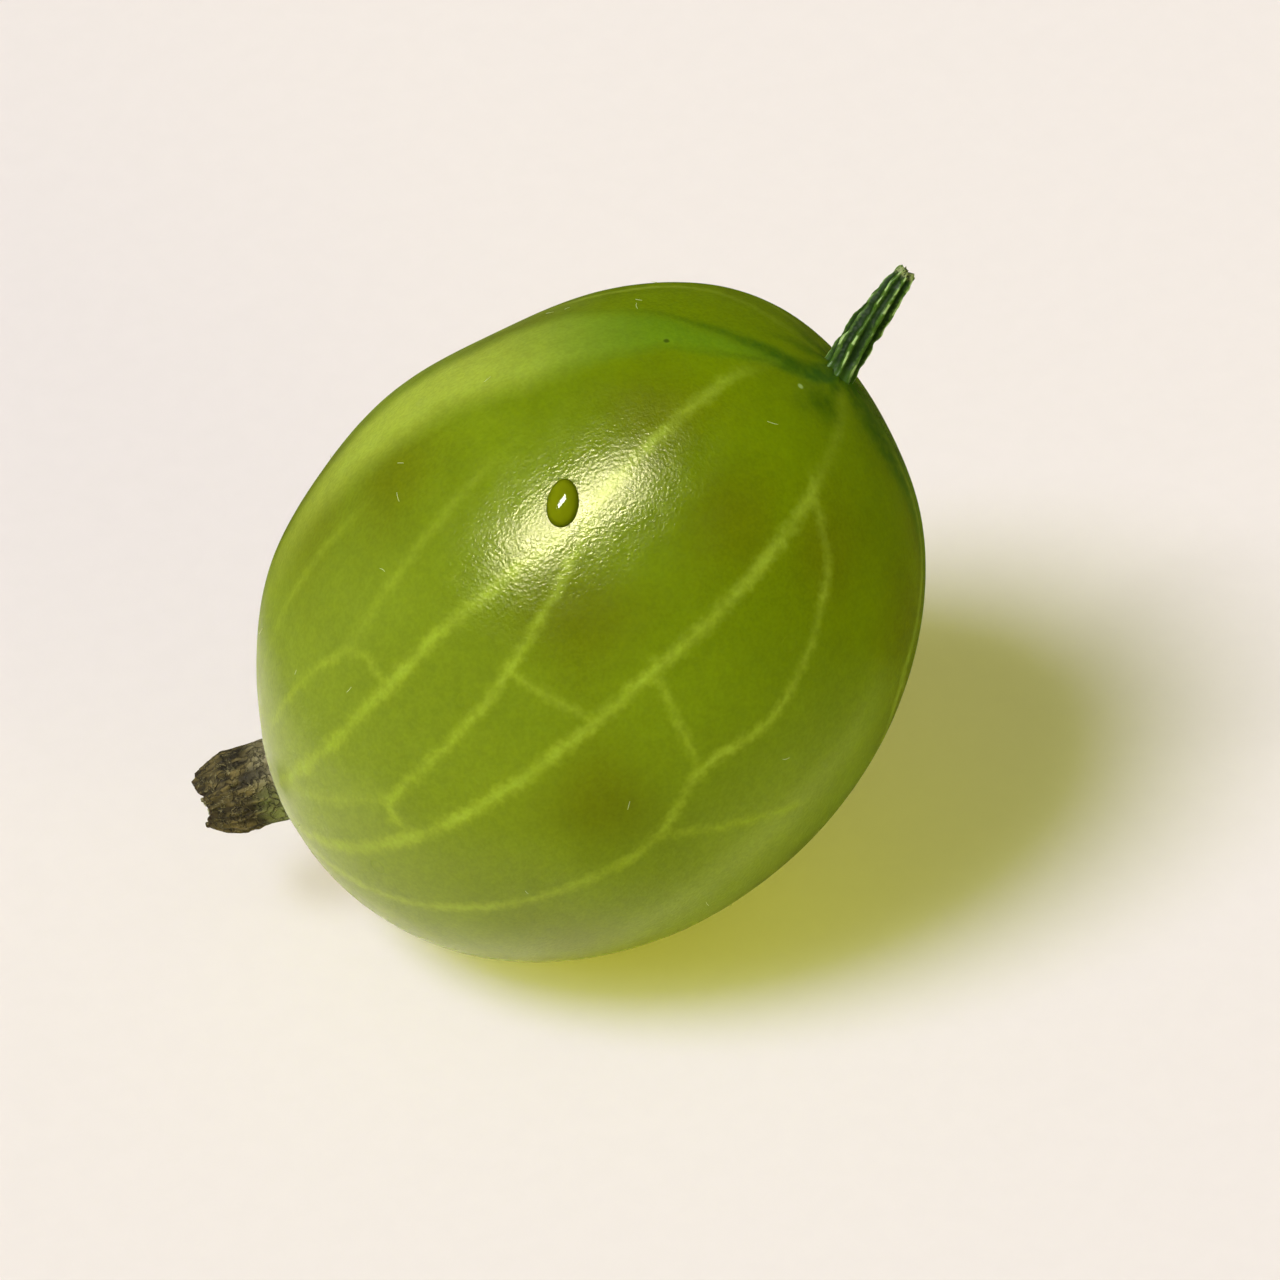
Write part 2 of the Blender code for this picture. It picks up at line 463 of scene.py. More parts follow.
@dataclass
class SkinMarks:
    """What shows on and under the skin, worked out for each of its points."""

    shape: FruitShape
    places: SkinMap
    veins: VeinNet = field(default_factory=VeinNet)
    bands: tuple[SeedBand, ...] = (
        SeedBand(
            ((0.3, -134), (0.7, -130), (0.8, -123), (0.86, -110), (0.92, -95), (0.97, -66)),
            ((0.3, -114), (0.54, -109), (0.64, -102), (0.8, -100), (0.9, -86), (0.97, -52)),
        ),
        SeedBand(
            ((0.3, 48), (0.8, 46), (0.88, 40), (0.95, 27)),
            ((0.3, 70), (0.8, 76), (0.96, 100)),
        ),
    )
    stain_spots: tuple[tuple[float, float, float], ...] = (
        (-42, 0.93, 0.8), (20, 0.94, 0.6), (62, 0.95, 0.6), (150, 0.93, 0.6), (192, 0.95, 0.4))
    stain_reach: float = 0.78 * MM
    # painted glow: pale streaks standing in for light carried through the flesh to its shaded side
    painted_glow_knots: Knots = ((24, 0.75), (17, 0.5), (22, 0.3))
    painted_glow_turns: tuple[float, ...] = (0.0, 112.0, 197.0)
    # seeds behind the skin, except (-15, 0.8), which is painted shade near the stalk end
    seed_and_shade_places: Knots = ((-40, 0.75), (-45, 0.55), (-15, 0.45), (-75, 0.75), (-100, 0.45), (-15, 0.8))
    far_patches: int = 26
    patch_reach: float = 1.9 * MM
    patch_seed: int = 11
    stalk_stain: float = 7.6

    def lines(self, rank: VeinRank) -> Lines:
        """Lays the veins of one rank on the skin.

        Args:
            rank: The rank of vein.

        Returns:
            The veins as samples.
        """
        legs, ways, strengths = [], [], []
        for index, vein in enumerate(v for v in self.veins.veins() if v.rank is rank):
            longitudes, shares = self.veins.route(vein.knots)
            line = self.shape.points(self.places.ways(longitudes, shares))
            for axis in range(3):
                line[:, axis] += self.veins.wander * grain_at(line, 0.9 * MM, 17.0 * (axis + 1) + index)
            run = np.linspace(0.0, 1.0, len(line))
            ends = smooth_step(shares, 0.0, 0.1) * (1.0 - 0.65 * smooth_step(shares, 0.68, 0.93))
            ends *= 0.35 + 0.65 * smooth_step(np.minimum(run, 1.0 - run), 0.0, 0.05)
            legs.append(line)
            ways.append(unit(np.gradient(line, axis=0)))
            strengths.append(rank.value[1] * ends * (0.85 + 0.3 * grain_at(line, 1.3 * MM, 3.0)))
        return Lines(np.concatenate(legs), np.concatenate(ways), np.concatenate(strengths))

    def band(
        self, longitudes: np.ndarray, shares: np.ndarray, points: np.ndarray
    ) -> tuple[np.ndarray, np.ndarray]:
        """Works out the seed bands and the dark green threads beside them.

        Args:
            longitudes: The points' longitudes, in degrees.
            shares: Their shares of the way to the stalk.
            points: The points themselves, one to a row.

        Returns:
            How strongly the bright bands show at each point, and how strongly the threads do.
        """
        leg = points - self.shape.centre()
        around = np.linalg.norm(leg - np.outer(leg @ self.places.line, self.places.line), axis=1)
        scale = np.radians(around) / MM
        ragged = 0.12 * grain_at(points, 1.1 * MM, 5.0) + 0.05 * grain_at(points, 0.35 * MM, 41.0)
        bright, thread = np.zeros(len(points)), np.zeros(len(points))
        width = 0.16 + 0.46 * smooth_step(shares, 0.78, 0.93)
        shown = 0.25 * smooth_step(shares, 0.6, 0.78) + 0.75 * smooth_step(shares, 0.76, 0.92)
        for band in self.bands:
            first, second = (degrees * scale + ragged for degrees in band.inside(longitudes, shares))
            loose = 0.7 * (1.0 - smooth_step(shares, 0.55, 0.75))
            within = smooth_step(first, -0.3, 1.1) * smooth_step(second, -0.6 - loose, 0.7 + loose)
            bright = np.maximum(bright, within)
            filled = within * smooth_step(shares, 0.86, 0.95)
            edge = np.exp(-(((first - 0.12) / width) ** 2)) + 0.5 * np.exp(-((second / 0.24) ** 2))
            thread = np.maximum(thread, np.clip(edge + 0.9 * filled, 0.0, 1.0) * shown)
        return bright * smooth_step(shares, 0.05, 0.5), thread

    def painted_glow(self, points: np.ndarray) -> np.ndarray:
        """Works out the wide pale streaks of painted glow, which stand in for light that has come through
        the flesh.

        Args:
            points: The skin's points, one to a row.

        Returns:
            How strongly they show at each point.
        """
        shown = np.zeros(len(points))
        for turn in self.painted_glow_turns:
            longitudes, shares = self.veins.route(self.painted_glow_knots)
            line = self.shape.points(self.places.ways(longitudes + turn, shares))
            fade = np.sin(np.linspace(0.0, math.pi, len(line)))
            lines = Lines(line, unit(np.gradient(line, axis=0)), fade)
            _, away, strength = lines.measure(points, points)
            shown += (0.45 * np.exp(-((away / 0.9) ** 2)) + 0.6 * np.exp(-((away / 3.0) ** 2))) * strength
        return shown

    def patch(self, points: np.ndarray) -> np.ndarray:
        """Works out the darker patches where seeds lie behind the skin, and one patch of painted shade near
        the stalk end.

        Args:
            points: The skin's points, one to a row.

        Returns:
            How strongly they darken each point.
        """
        rng = np.random.default_rng(self.patch_seed)
        places = list(self.seed_and_shade_places)
        while len(places) < len(self.seed_and_shade_places) + self.far_patches:
            places.append((float(rng.uniform(10, 250)), float(rng.uniform(0.2, 0.85))))
        shown = np.zeros(len(points))
        wobble = 1.0 + 0.35 * grain_at(points, 1.8 * MM, 9.0)
        for longitude, share in places:
            spot = np.array(self.shape.point(self.places.way(longitude, share)))
            away = np.linalg.norm(points - spot, axis=1) * wobble
            shown = np.maximum(shown, np.exp(-((away / self.patch_reach) ** 2)))
        return shown

    def stain(self, ways: np.ndarray, longitudes: np.ndarray, points: np.ndarray) -> np.ndarray:
        """Works out the dark green stain round the stalk.

        Args:
            ways: The direction of each point from the fruit's centre.
            longitudes: The points' longitudes, in degrees.
            points: The points themselves, one to a row.

        Returns:
            How strongly it shows at each point.
        """
        angle = np.degrees(np.arccos(np.clip(ways @ self.places.stalk, -1.0, 1.0)))
        streaks = np.cos(np.radians(longitudes) * PLEATS + 1.3 * grain_at(points, 0.8 * MM, 21.0))
        reach = self.stalk_stain * (1.0 + 0.34 * streaks + 0.25 * grain_at(points, 0.6 * MM, 31.0))
        shown = np.exp(-((angle / reach) ** 2))
        wobble = 1.0 + 0.4 * grain_at(points, 0.5 * MM, 33.0)
        for longitude, share, strength in self.stain_spots:
            spot = np.array(self.shape.point(self.places.way(longitude, share)))
            away = np.linalg.norm(points - spot, axis=1) * wobble
            shown = np.maximum(shown, strength * np.exp(-((away / self.stain_reach) ** 2)))
        return shown

    def bloom_and_sheen(self, ways: np.ndarray, shares: np.ndarray, points: np.ndarray) -> np.ndarray:
        """Works out the pale bloom, strongest towards the flower, with painted sheen near the flower and a
        ring of painted light round its foot.

        Args:
            ways: The direction of each point from the fruit's centre.
            shares: The points' shares of the way to the stalk.
            points: The points themselves, one to a row.

        Returns:
            How pale each point is.
        """
        drift = 0.08 * grain_at(points, 4.5 * MM, 2.0)
        towards_flower = 1.0 - smooth_step(shares + drift, 0.0, 0.46)
        angle = np.degrees(np.arccos(np.clip(ways @ self.places.flower, -1.0, 1.0)))
        # a ring of painted light beside the flower's foot
        collar = 0.6 * np.exp(-(((angle - 8.2) / 2.0) ** 2))
        # the term that falls off within about 13 degrees of the flower is painted sheen, a pale rim
        return np.clip(0.9 * towards_flower + 0.5 * np.exp(-((angle / 13) ** 2)), 0.0, 1.0) + collar

    def paint(self, mesh: bpy.types.Mesh, ways: np.ndarray, points: np.ndarray) -> None:
        """Stores every mark on the mesh, one named attribute each.

        Args:
            mesh: The skin's mesh.
            ways: The direction of each of its points from the fruit's centre.
            points: Its points, one to a row.
        """
        longitudes, shares = self.places.places(ways)
        bright, thread = self.band(longitudes, shares, points)
        marks = {
            "band": bright,
            "seam": thread,
            "patch": self.patch(points),
            "stain": self.stain(ways, longitudes, points),
            "bloom_and_sheen": self.bloom_and_sheen(ways, shares, points),
            "painted_glow": self.painted_glow(points),
            "share": shares,
        }
        for rank in VeinRank:
            across, away, strength = self.lines(rank).measure(points, ways)
            marks[rank.name + "_across"] = across
            marks[rank.name + "_shown"] = strength * (1.0 - smooth_step(away, 0.4, 0.85))
        for name, values in marks.items():
            store(mesh, name, values)


def store(mesh: bpy.types.Mesh, name: str, values: np.ndarray) -> None:
    """Stores a value for each point of a mesh.

    Args:
        mesh: The mesh.
        name: The attribute's name.
        values: One value to a point.
    """
    attribute = mesh.attributes.new(name, "FLOAT", "POINT")
    attribute.data.foreach_set("value", np.asarray(values, np.float32))


def add_piece(name: str, mesh: bpy.types.Mesh, material: bpy.types.Material) -> bpy.types.Object:
    """Puts a finished mesh in the scene as a piece of the gooseberry.

    Args:
        name: The piece's name.
        mesh: Its mesh, in place.
        material: Its finish.

    Returns:
        The new object, riding on the root body.
    """
    piece = bpy.data.objects.new(name, mesh)
    bpy.context.scene.collection.objects.link(piece)
    mesh.materials.append(material)
    mesh.shade_smooth()
    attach(piece, ROOT)
    LOG.info("%s: %d faces", name, len(mesh.polygons))
    return piece


class Graph:
    """A material's node tree, with short calls for the nodes that the finishes use."""

    def __init__(self, name: str) -> None:
        """Makes an empty material.

        Args:
            name: The material's name.
        """
        self.material = bpy.data.materials.new(name)
        self.material.use_nodes = True
        self.tree = self.material.node_tree
        self.tree.nodes.clear()

    def node(self, kind: str, **inputs: object) -> bpy.types.Node:
        """Adds a node and sets or links its inputs.

        Args:
            kind: The node's type, without the ShaderNode prefix.
            **inputs: Values or sockets by input name, with underscores for spaces.

        Returns:
            The node.
        """
        node = self.tree.nodes.new("ShaderNode" + kind)
        for name, value in inputs.items():
            self.feed(node.inputs[name.replace("_", " ")], value)
        return node

    def feed(self, target: bpy.types.NodeSocket, value: object) -> None:
        """Links a socket to an input, or sets the input's own value.

        Args:
            target: The input.
            value: A socket, a number or a colour.
        """
        if isinstance(value, bpy.types.NodeSocket):
            self.tree.links.new(value, target)
        elif isinstance(value, tuple) and target.type == "RGBA":
            target.default_value = (*value, 1.0)
        else:
            target.default_value = value

    def mark(self, name: str) -> bpy.types.NodeSocket:
        """Reads a stored attribute of the mesh.

        Args:
            name: The attribute's name.

        Returns:
            Its value.
        """
        node = self.node("Attribute")
        node.attribute_name = name
        return node.outputs["Fac"]

    def place(self) -> bpy.types.NodeSocket:
        """Returns the surface point in the object's own metres."""
        return self.node("TexCoord").outputs["Object"]

    def noise(self, size: float, detail: float = 2.0) -> bpy.types.NodeSocket:
        """Adds soft noise.

        Args:
            size: The size of its lumps, in metres.
            detail: How many finer layers it has.

        Returns:
            Its value, about 0.5 on average.
        """
        node = self.node("TexNoise", Vector=self.place(), Scale=1.0 / size, Detail=detail)
        return node.outputs["Fac"]

    def away(self, spot: Vector) -> bpy.types.NodeSocket:
        """Measures from the surface point to a fixed spot.

        Args:
            spot: The spot, in metres.

        Returns:
            The distance, in metres.
        """
        node = self.node("VectorMath")
        node.operation = "DISTANCE"
        self.feed(node.inputs[0], self.place())
        self.feed(node.inputs[1], tuple(spot))
        return node.outputs["Value"]

    def math(self, operation: str, first: object, second: object = 0.0) -> bpy.types.NodeSocket:
        """Adds a sum on two values.

        Args:
            operation: Blender's name for it.
            first: A socket or a number.
            second: A socket or a number.

        Returns:
            The result.
        """
        node = self.tree.nodes.new("ShaderNodeMath")
        node.operation = operation
        self.feed(node.inputs[0], first)
        self.feed(node.inputs[1], second)
        return node.outputs[0]

    def spread(
        self, value: object, low: float, high: float, to: tuple[float, float] = (0.0, 1.0)
    ) -> bpy.types.NodeSocket:
        """Maps a value smoothly from one range to another.

        Args:
            value: The socket to read.
            low: The value that gives the first result.
            high: The value that gives the second result.
            to: The two results.

        Returns:
            The mapped value.
        """
        node = self.node("MapRange", Value=value, From_Min=low, From_Max=high, To_Min=to[0], To_Max=to[1])
        node.interpolation_type = "SMOOTHSTEP"
        return node.outputs["Result"]

    def mix(self, share: object, first: object, second: object, blend: str = "MIX") -> bpy.types.NodeSocket:
        """Mixes two colours.

        Args:
            share: How much of the second, a socket or a number.
            first: A socket or a colour.
            second: A socket or a colour.
            blend: Blender's name for the way they mix.

        Returns:
            The mixed colour.
        """
        node = self.tree.nodes.new("ShaderNodeMix")
        node.data_type = "RGBA"
        node.blend_type = blend
        self.feed(node.inputs[0], share)
        self.feed(node.inputs[6], first)
        self.feed(node.inputs[7], second)
        return node.outputs[2]

    def bump(self, height: object, distance: float, normal: object = None) -> bpy.types.NodeSocket:
        """Adds relief too fine for the mesh.

        Args:
            height: The socket that gives the relief, from 0 to 1.
            distance: The relief's full height, in metres.
            normal: The normal of a coarser relief under it.

        Returns:
            The changed normal.
        """
        node = self.node("Bump", Height=height, Distance=distance, Strength=1.0)
        if normal is not None:
            self.feed(node.inputs["Normal"], normal)
        return node.outputs[0]

    def shade(self, colour: object, tone: bpy.types.NodeSocket) -> bpy.types.NodeSocket:
        """Darkens or lightens a colour evenly.

        Args:
            colour: A socket or a colour.
            tone: What each of its channels is multiplied by.

        Returns:
            The shaded colour.
        """
        grey = self.node("CombineColor", Red=tone, Green=tone, Blue=tone).outputs[0]
        return self.mix(1.0, colour, grey, "MULTIPLY")

    def let_light_by(self, shader: bpy.types.NodeSocket, tint: object) -> bpy.types.NodeSocket:
        """Lets some light through to what lies in the surface's shadow.

        Args:
            shader: The surface's own shader.
            tint: How much light each crossing of the surface lets by, a socket or a colour.

        Returns:
            The shader to use.
        """
        share = self.node("LightPath").outputs["Is Shadow Ray"]
        return self.join(share, shader, self.node("BsdfTransparent", Color=tint).outputs[0])

    def join(
        self, share: bpy.types.NodeSocket, first: bpy.types.NodeSocket, second: bpy.types.NodeSocket
    ) -> bpy.types.NodeSocket:
        """Mixes two shaders.

        Args:
            share: How much of the second.
            first: A shader.
            second: A shader.

        Returns:
            The mixed shader.
        """
        node = self.node("MixShader", Fac=share)
        self.feed(node.inputs[1], first)
        self.feed(node.inputs[2], second)
        return node.outputs[0]

    def finish(self, shader: bpy.types.NodeSocket) -> bpy.types.Material:
        """Sends a shader to the surface and returns the material."""
        self.feed(self.node("OutputMaterial").inputs["Surface"], shader)
        return self.material


@dataclass(frozen=True)
class BerrySkinFinish:
    """Smooth, waxy skin over translucent flesh, with the marks that show through it, and painted glow, sheen
    and shade.
    """

    stalk_side: Colour = srgb(115, 137, 4)
    flower_side: Colour = srgb(124, 142, 27)
    seed_and_painted_shade: Colour = srgb(102, 107, 5)
    vein_colour: Colour = srgb(168, 188, 56)
    # colour of the painted glow, light that has come through the flesh
    painted_glow_colour: Colour = srgb(160, 176, 84)
    band_colour: Colour = srgb(174, 190, 70)
    band_leaf: Colour = srgb(106, 142, 20)
    seam_colour: Colour = srgb(62, 98, 12)
    stain_colour: Colour = srgb(44, 82, 6)
    # pale bloom colour, also carrying the painted sheen and painted light near the flower
    bloom_and_sheen_colour: Colour = srgb(173, 187, 96)
    # painted shade: the skin darkens towards the table on its underside
    under_shade_colour: Colour = srgb(84, 98, 4)
    fleck_colour: Colour = srgb(50, 66, 8)
    hair_colour: Colour = srgb(176, 196, 120)
    under_shade_start: float = 0.8 * MM
    under_shade_height: float = 2.3 * MM
    light_reach: Colour = (1.0, 1.0, 0.35)
    light_reach_scale: float = 1.4 * MM
    shine: Colour = (1.0, 0.90, 0.52)
    passing_low: Colour = (0.76, 0.77, 0.16)
    passing_high: Colour = (0.37, 0.385, 0.03)
    passing_height: float = 18.0 * MM
    passing_flank: Colour = (0.79, 0.82, 0.56)
    ior: float = 1.42
    grain_size: float = 0.11 * MM
    grain_depth: float = 0.016 * MM
    dark_fleck: tuple[float, float] = (-103, 0.8)
    pale_fleck: tuple[float, float] = (-62, 0.92)
    ring_places: Knots = ((-45, 0.4), (-15, 0.2), (-10, 0.7), (60, 0.5), (130, 0.6), (185, 0.35))
    ring_radius: float = 0.25 * MM

    def height(self, g: Graph) -> bpy.types.NodeSocket:
        """Returns the height above the table."""
        return g.node("SeparateXYZ", Vector=g.place()).outputs["Z"]

    def colour(self, g: Graph) -> bpy.types.NodeSocket:
        """Builds the skin's colour from the marks stored on its mesh.

        Args:
            g: The material's node tree.

        Returns:
            The colour.
        """
        broad, fine, dust = g.noise(3.2 * MM, 3.0), g.noise(0.42 * MM, 4.0), g.noise(0.13 * MM, 1.0)
        base = g.mix(g.spread(g.mark("share"), 0.25, 0.85), self.flower_side, self.stalk_side)
        # seeds behind the skin, with one patch of painted shade near the stalk end
        base = g.mix(g.math("MULTIPLY", g.mark("patch"), 0.6), base, self.seed_and_painted_shade)
        # pale bloom, with painted sheen and painted light near the flower
        base = g.mix(g.math("MULTIPLY", g.mark("bloom_and_sheen"), 0.33), base, self.bloom_and_sheen_colour)
        band = g.mix(g.spread(g.mark("share"), 0.56, 0.82), self.band_colour, self.band_leaf)
        base = g.mix(g.math("MULTIPLY", g.mark("band"), 0.8), base, band)
        # painted glow of light that has come through the flesh
        base = g.mix(g.math("MULTIPLY", g.mark("painted_glow"), 0.62), base, self.painted_glow_colour)
        speckled = g.spread(fine, 0.34, 0.62, (0.62, 0.95))
        base = g.mix(g.math("MULTIPLY", g.mark("seam"), speckled), base, self.seam_colour)
        ragged = g.spread(g.noise(0.28 * MM, 2.0), 0.3, 0.7, (-0.05, 0.09))
        faint = g.spread(g.noise(1.1 * MM, 2.0), 0.36, 0.6, (0.52, 0.82))
        for rank in VeinRank:
            away = g.math("ADD", g.math("ABSOLUTE", g.mark(rank.name + "_across")), ragged)
            line = g.math("MULTIPLY", g.spread(away, -0.05, 1.35 * rank.value[0], (1.0, 0.0)), faint)
            base = g.mix(g.math("MULTIPLY", line, g.mark(rank.name + "_shown")), base, self.vein_colour)
        base = g.mix(g.math("MULTIPLY", g.mark("stain"), speckled), base, self.stain_colour)
        # painted shade on the underside, darkest near the table
        under = g.spread(self.height(g), self.under_shade_start, self.under_shade_height, (0.75, 0.0))
        base = g.mix(under, base, self.under_shade_colour)
        tone = g.spread(broad, 0.3, 0.7, (0.94, 1.04))
        tone = g.math("ADD", tone, g.spread(fine, 0.3, 0.7, (-0.04, 0.04)))
        tone = g.math("ADD", tone, g.spread(dust, 0.3, 0.7, (-0.05, 0.05)))
        return g.shade(base, tone)

    def rings(self, g: Graph, shape: FruitShape, places: SkinMap) -> bpy.types.NodeSocket:
        """Builds the faint round scars on the skin.

        Args:
            g: The material's node tree.
            shape: The fruit's form.
            places: The map of its skin.

        Returns:
            How strongly they show.
        """
        total: object = 0.0
        for longitude, share in self.ring_places:
            away = g.away(shape.point(places.way(longitude, share)))
            edge = g.math("ABSOLUTE", g.math("SUBTRACT", away, self.ring_radius))
            total = g.math("ADD", total, g.spread(edge, 0.0, 0.07 * MM, (1.0, 0.0)))
        return total

    def passing_light(self, g: Graph) -> bpy.types.NodeSocket:
        """Builds the tint of the light that the flesh lets through to the table.

        Args:
            g: The material's node tree.

        Returns:
            The tint.
        """
        deep = g.mix(g.spread(self.height(g), 0.0, self.passing_height), self.passing_low, self.passing_high)
        flank = g.spread(g.node("LayerWeight", Blend=0.5).outputs["Facing"], 0.3, 0.75)
        return g.mix(flank, deep, self.passing_flank)

    def material(self, shape: FruitShape, places: SkinMap) -> bpy.types.Material:
        """Builds the skin's material.

        Args:
            shape: The fruit's form.
            places: The map of its skin.

        Returns:
            The material.
        """
        g = Graph("berry_skin")
        rings = self.rings(g, shape, places)
        colour = g.mix(g.math("MULTIPLY", rings, 0.22), self.colour(g), self.flower_side)
        for spot, paint in ((self.dark_fleck, self.fleck_colour), (self.pale_fleck, self.hair_colour)):
            away = g.away(shape.point(places.way(*spot)))
            colour = g.mix(g.spread(away, 0.05 * MM, 0.13 * MM, (0.8, 0.0)), colour, paint)
        peel = g.bump(g.noise(0.45 * MM, 1.0), 0.004 * MM)
        peel = g.bump(g.noise(self.grain_size, 2.0), self.grain_depth, normal=peel)
        peel = g.bump(rings, 0.012 * MM, normal=peel)
        shader = g.node(
            "BsdfPrincipled",
            Base_Color=colour,
            Roughness=g.spread(g.noise(0.8 * MM), 0.3, 0.7, (0.18, 0.26)),
            Normal=peel,
        )
        g.feed(shader.inputs["IOR"], self.ior)
        g.feed(shader.inputs["Specular Tint"], self.shine)
        g.feed(shader.inputs["Subsurface Weight"], 1.0)
        g.feed(shader.inputs["Subsurface Radius"], self.light_reach)
        g.feed(shader.inputs["Subsurface Scale"], self.light_reach_scale)
        return g.finish(g.let_light_by(shader.outputs[0], self.passing_light(g)))


@dataclass(frozen=True)
class StalkFinish:
    """Green, ribbed stem with broken ribs in painted highlights, painted shade in its grooves and a pale
    torn end.
    """

    rib: Colour = srgb(70, 100, 30)
    # painted highlight: pale gleams along the rib crests
    painted_highlight: Colour = srgb(172, 200, 128)
    # painted shade in the grooves between the ribs
    groove_shade: Colour = srgb(24, 48, 3)
    torn: Colour = srgb(150, 160, 104)
    foot: Colour = srgb(52, 86, 8)
    light_reach: Colour = (0.6, 1.0, 0.25)
    light_reach_scale: float = 0.25 * MM

    def material(self) -> bpy.types.Material:
        """Builds the stalk's material.

        Returns:
            The material.
        """
        g = Graph("stalk_green")
        fibres, knots = g.noise(0.1 * MM, 4.0), g.noise(0.42 * MM, 2.0)
        rib = g.math("ADD", g.mark("rib"), g.spread(fibres, 0.3, 0.7, (-0.2, 0.2)))
        # painted shade in the grooves, the rib's own green on the crests
        colour = g.mix(g.spread(rib, 0.1, 1.0), self.groove_shade, self.rib)
        # painted highlight along the rib crests, broken by knots
        painted_highlight = g.math("MULTIPLY", g.spread(g.mark("rib"), 0.78, 0.97), g.spread(knots, 0.44, 0.56))
        colour = g.mix(g.math("MULTIPLY", painted_highlight, 0.85), colour, self.painted_highlight)
        colour = g.mix(g.spread(g.mark("height"), 0.08, 0.24, (0.85, 0.0)), colour, self.foot)
        torn = g.math("MULTIPLY", g.spread(g.mark("height"), 0.94, 1.0), g.spread(fibres, 0.35, 0.6))
        colour = g.mix(torn, colour, self.torn)
        relief = g.bump(fibres, 0.02 * MM)
        relief = g.bump(knots, 0.03 * MM, normal=relief)
        shader = g.node(
            "BsdfPrincipled",
            Base_Color=colour,
            Roughness=g.spread(g.mark("rib"), 0.2, 1.0, (0.6, 0.35)),
            Normal=relief,
        )
        g.feed(shader.inputs["Specular IOR Level"], 0.15)
        g.feed(shader.inputs["Subsurface Weight"], 0.2)
        g.feed(shader.inputs["Subsurface Radius"], self.light_reach)
        g.feed(shader.inputs["Subsurface Scale"], self.light_reach_scale)
        return g.finish(shader.outputs[0])


@dataclass(frozen=True)
class DriedFlowerFinish:
    """Brown, papery, wrinkled flower parts with paler fibres, a green foot and painted shade in their folds
    and creases.
    """

    name: str = "dried_flower"
    # dark: painted shade for the hollows between folds and for the creases
    dark: Colour = srgb(28, 22, 8)
    brown: Colour = srgb(78, 68, 34)
    tan: Colour = srgb(112, 98, 54)
    fibre: Colour = srgb(152, 142, 98)
    green: Colour = srgb(138, 146, 82)
    ash: Colour = srgb(138, 130, 98)
    rim: Colour = srgb(48, 32, 15)
    passing_light: Colour = (0.95, 0.94, 0.90)

    def material(self) -> bpy.types.Material:
        """Builds the dried flower's material.

        Returns:
            The material.
        """
        g = Graph(self.name)
        folds, fibres = g.noise(0.5 * MM, 3.0), g.noise(0.09 * MM, 4.0)
        strand, crease = (
            g.spread(g.math("ABSOLUTE", g.math("SUBTRACT", g.noise(size, 3.0), 0.5)), 0.0, width, (1.0, 0.0))
            for size, width in ((0.46 * MM, 0.03), (0.38 * MM, 0.05))
        )
        colour = g.mix(g.spread(folds, 0.36, 0.64), self.brown, self.tan)
        # painted shade in the hollows between fold ridges
        colour = g.mix(g.spread(g.mark("ridge"), 0.2, 0.9, (0.8, 0.0)), colour, self.dark)
        ash = g.math("MULTIPLY", g.mark("ash"), g.spread(folds, 0.36, 0.56, (0.3, 0.9)))
        colour = g.mix(ash, colour, self.ash)
        foot = g.math("MULTIPLY", g.mark("foot"), g.spread(folds, 0.36, 0.52, (0.5, 1.0)))
        colour = g.mix(foot, colour, self.green)
        # painted shade along the creases
        colour = g.mix(g.math("MULTIPLY", crease, 0.6), colour, self.dark)
        rim = g.math("MULTIPLY", g.mark("rim"), g.spread(fibres, 0.35, 0.6, (0.5, 0.9)))
        colour = g.mix(rim, colour, self.rim)
        broken = g.math("MULTIPLY", strand, g.spread(fibres, 0.4, 0.6, (0.1, 0.7)))
        colour = g.mix(broken, colour, self.fibre)
        relief = g.bump(folds, 0.12 * MM)
        relief = g.bump(crease, -0.05 * MM, normal=relief)
        relief = g.bump(strand, 0.04 * MM, normal=relief)
        relief = g.bump(fibres, 0.04 * MM, normal=relief)
        shader = g.node(
            "BsdfPrincipled",
            Base_Color=colour,
            Roughness=g.spread(fibres, 0.3, 0.7, (0.6, 0.85)),
            Normal=relief,
        )
        g.feed(shader.inputs["Specular IOR Level"], 0.2)
        return g.finish(g.let_light_by(shader.outputs[0], self.passing_light))


@dataclass(frozen=True)
class WaterFinish:
    """Clear water that takes the colour of the skin under it, with painted shade round its edge."""

    middle: Colour = srgb(118, 128, 8)
    # painted shade round the drop's edge
    edge: Colour = srgb(70, 80, 0)
    roughness: float = 0.06
    ior: float = 1.33
    light_reach: Colour = (1.0, 1.0, 0.35)
    light_reach_scale: float = 0.3 * MM

    def material(self) -> bpy.types.Material:
        """Builds the water's material.

        Returns:
            The material.
        """
        g = Graph("water")
        ripple = g.bump(g.noise(0.5 * MM, 0.0), 0.004 * MM)
        # painted shade towards the drop's edge
        colour = g.mix(g.spread(g.mark("height"), 0.1, 0.8), self.edge, self.middle)
        shader = g.node("BsdfPrincipled", Base_Color=colour, Normal=ripple)
        g.feed(shader.inputs["Roughness"], self.roughness)
        g.feed(shader.inputs["IOR"], self.ior)
        g.feed(shader.inputs["Subsurface Weight"], 0.6)
        g.feed(shader.inputs["Subsurface Radius"], self.light_reach)
        g.feed(shader.inputs["Subsurface Scale"], self.light_reach_scale)
        return g.finish(shader.outputs[0])


@dataclass(frozen=True)
class HairFinish:
    """Pale, slightly shining hair."""

    root: Colour = srgb(170, 180, 90)
    tip: Colour = srgb(226, 228, 176)

    def material(self) -> bpy.types.Material:
        """Builds the hairs' material.

        Returns:
            The material.
        """
        g = Graph("skin_hair")
        colour = g.mix(g.spread(g.mark("height"), 0.0, 1.0), self.root, self.tip)
        shader = g.node("BsdfPrincipled", Base_Color=colour)
        g.feed(shader.inputs["Roughness"], 0.4)
        return g.finish(shader.outputs[0])


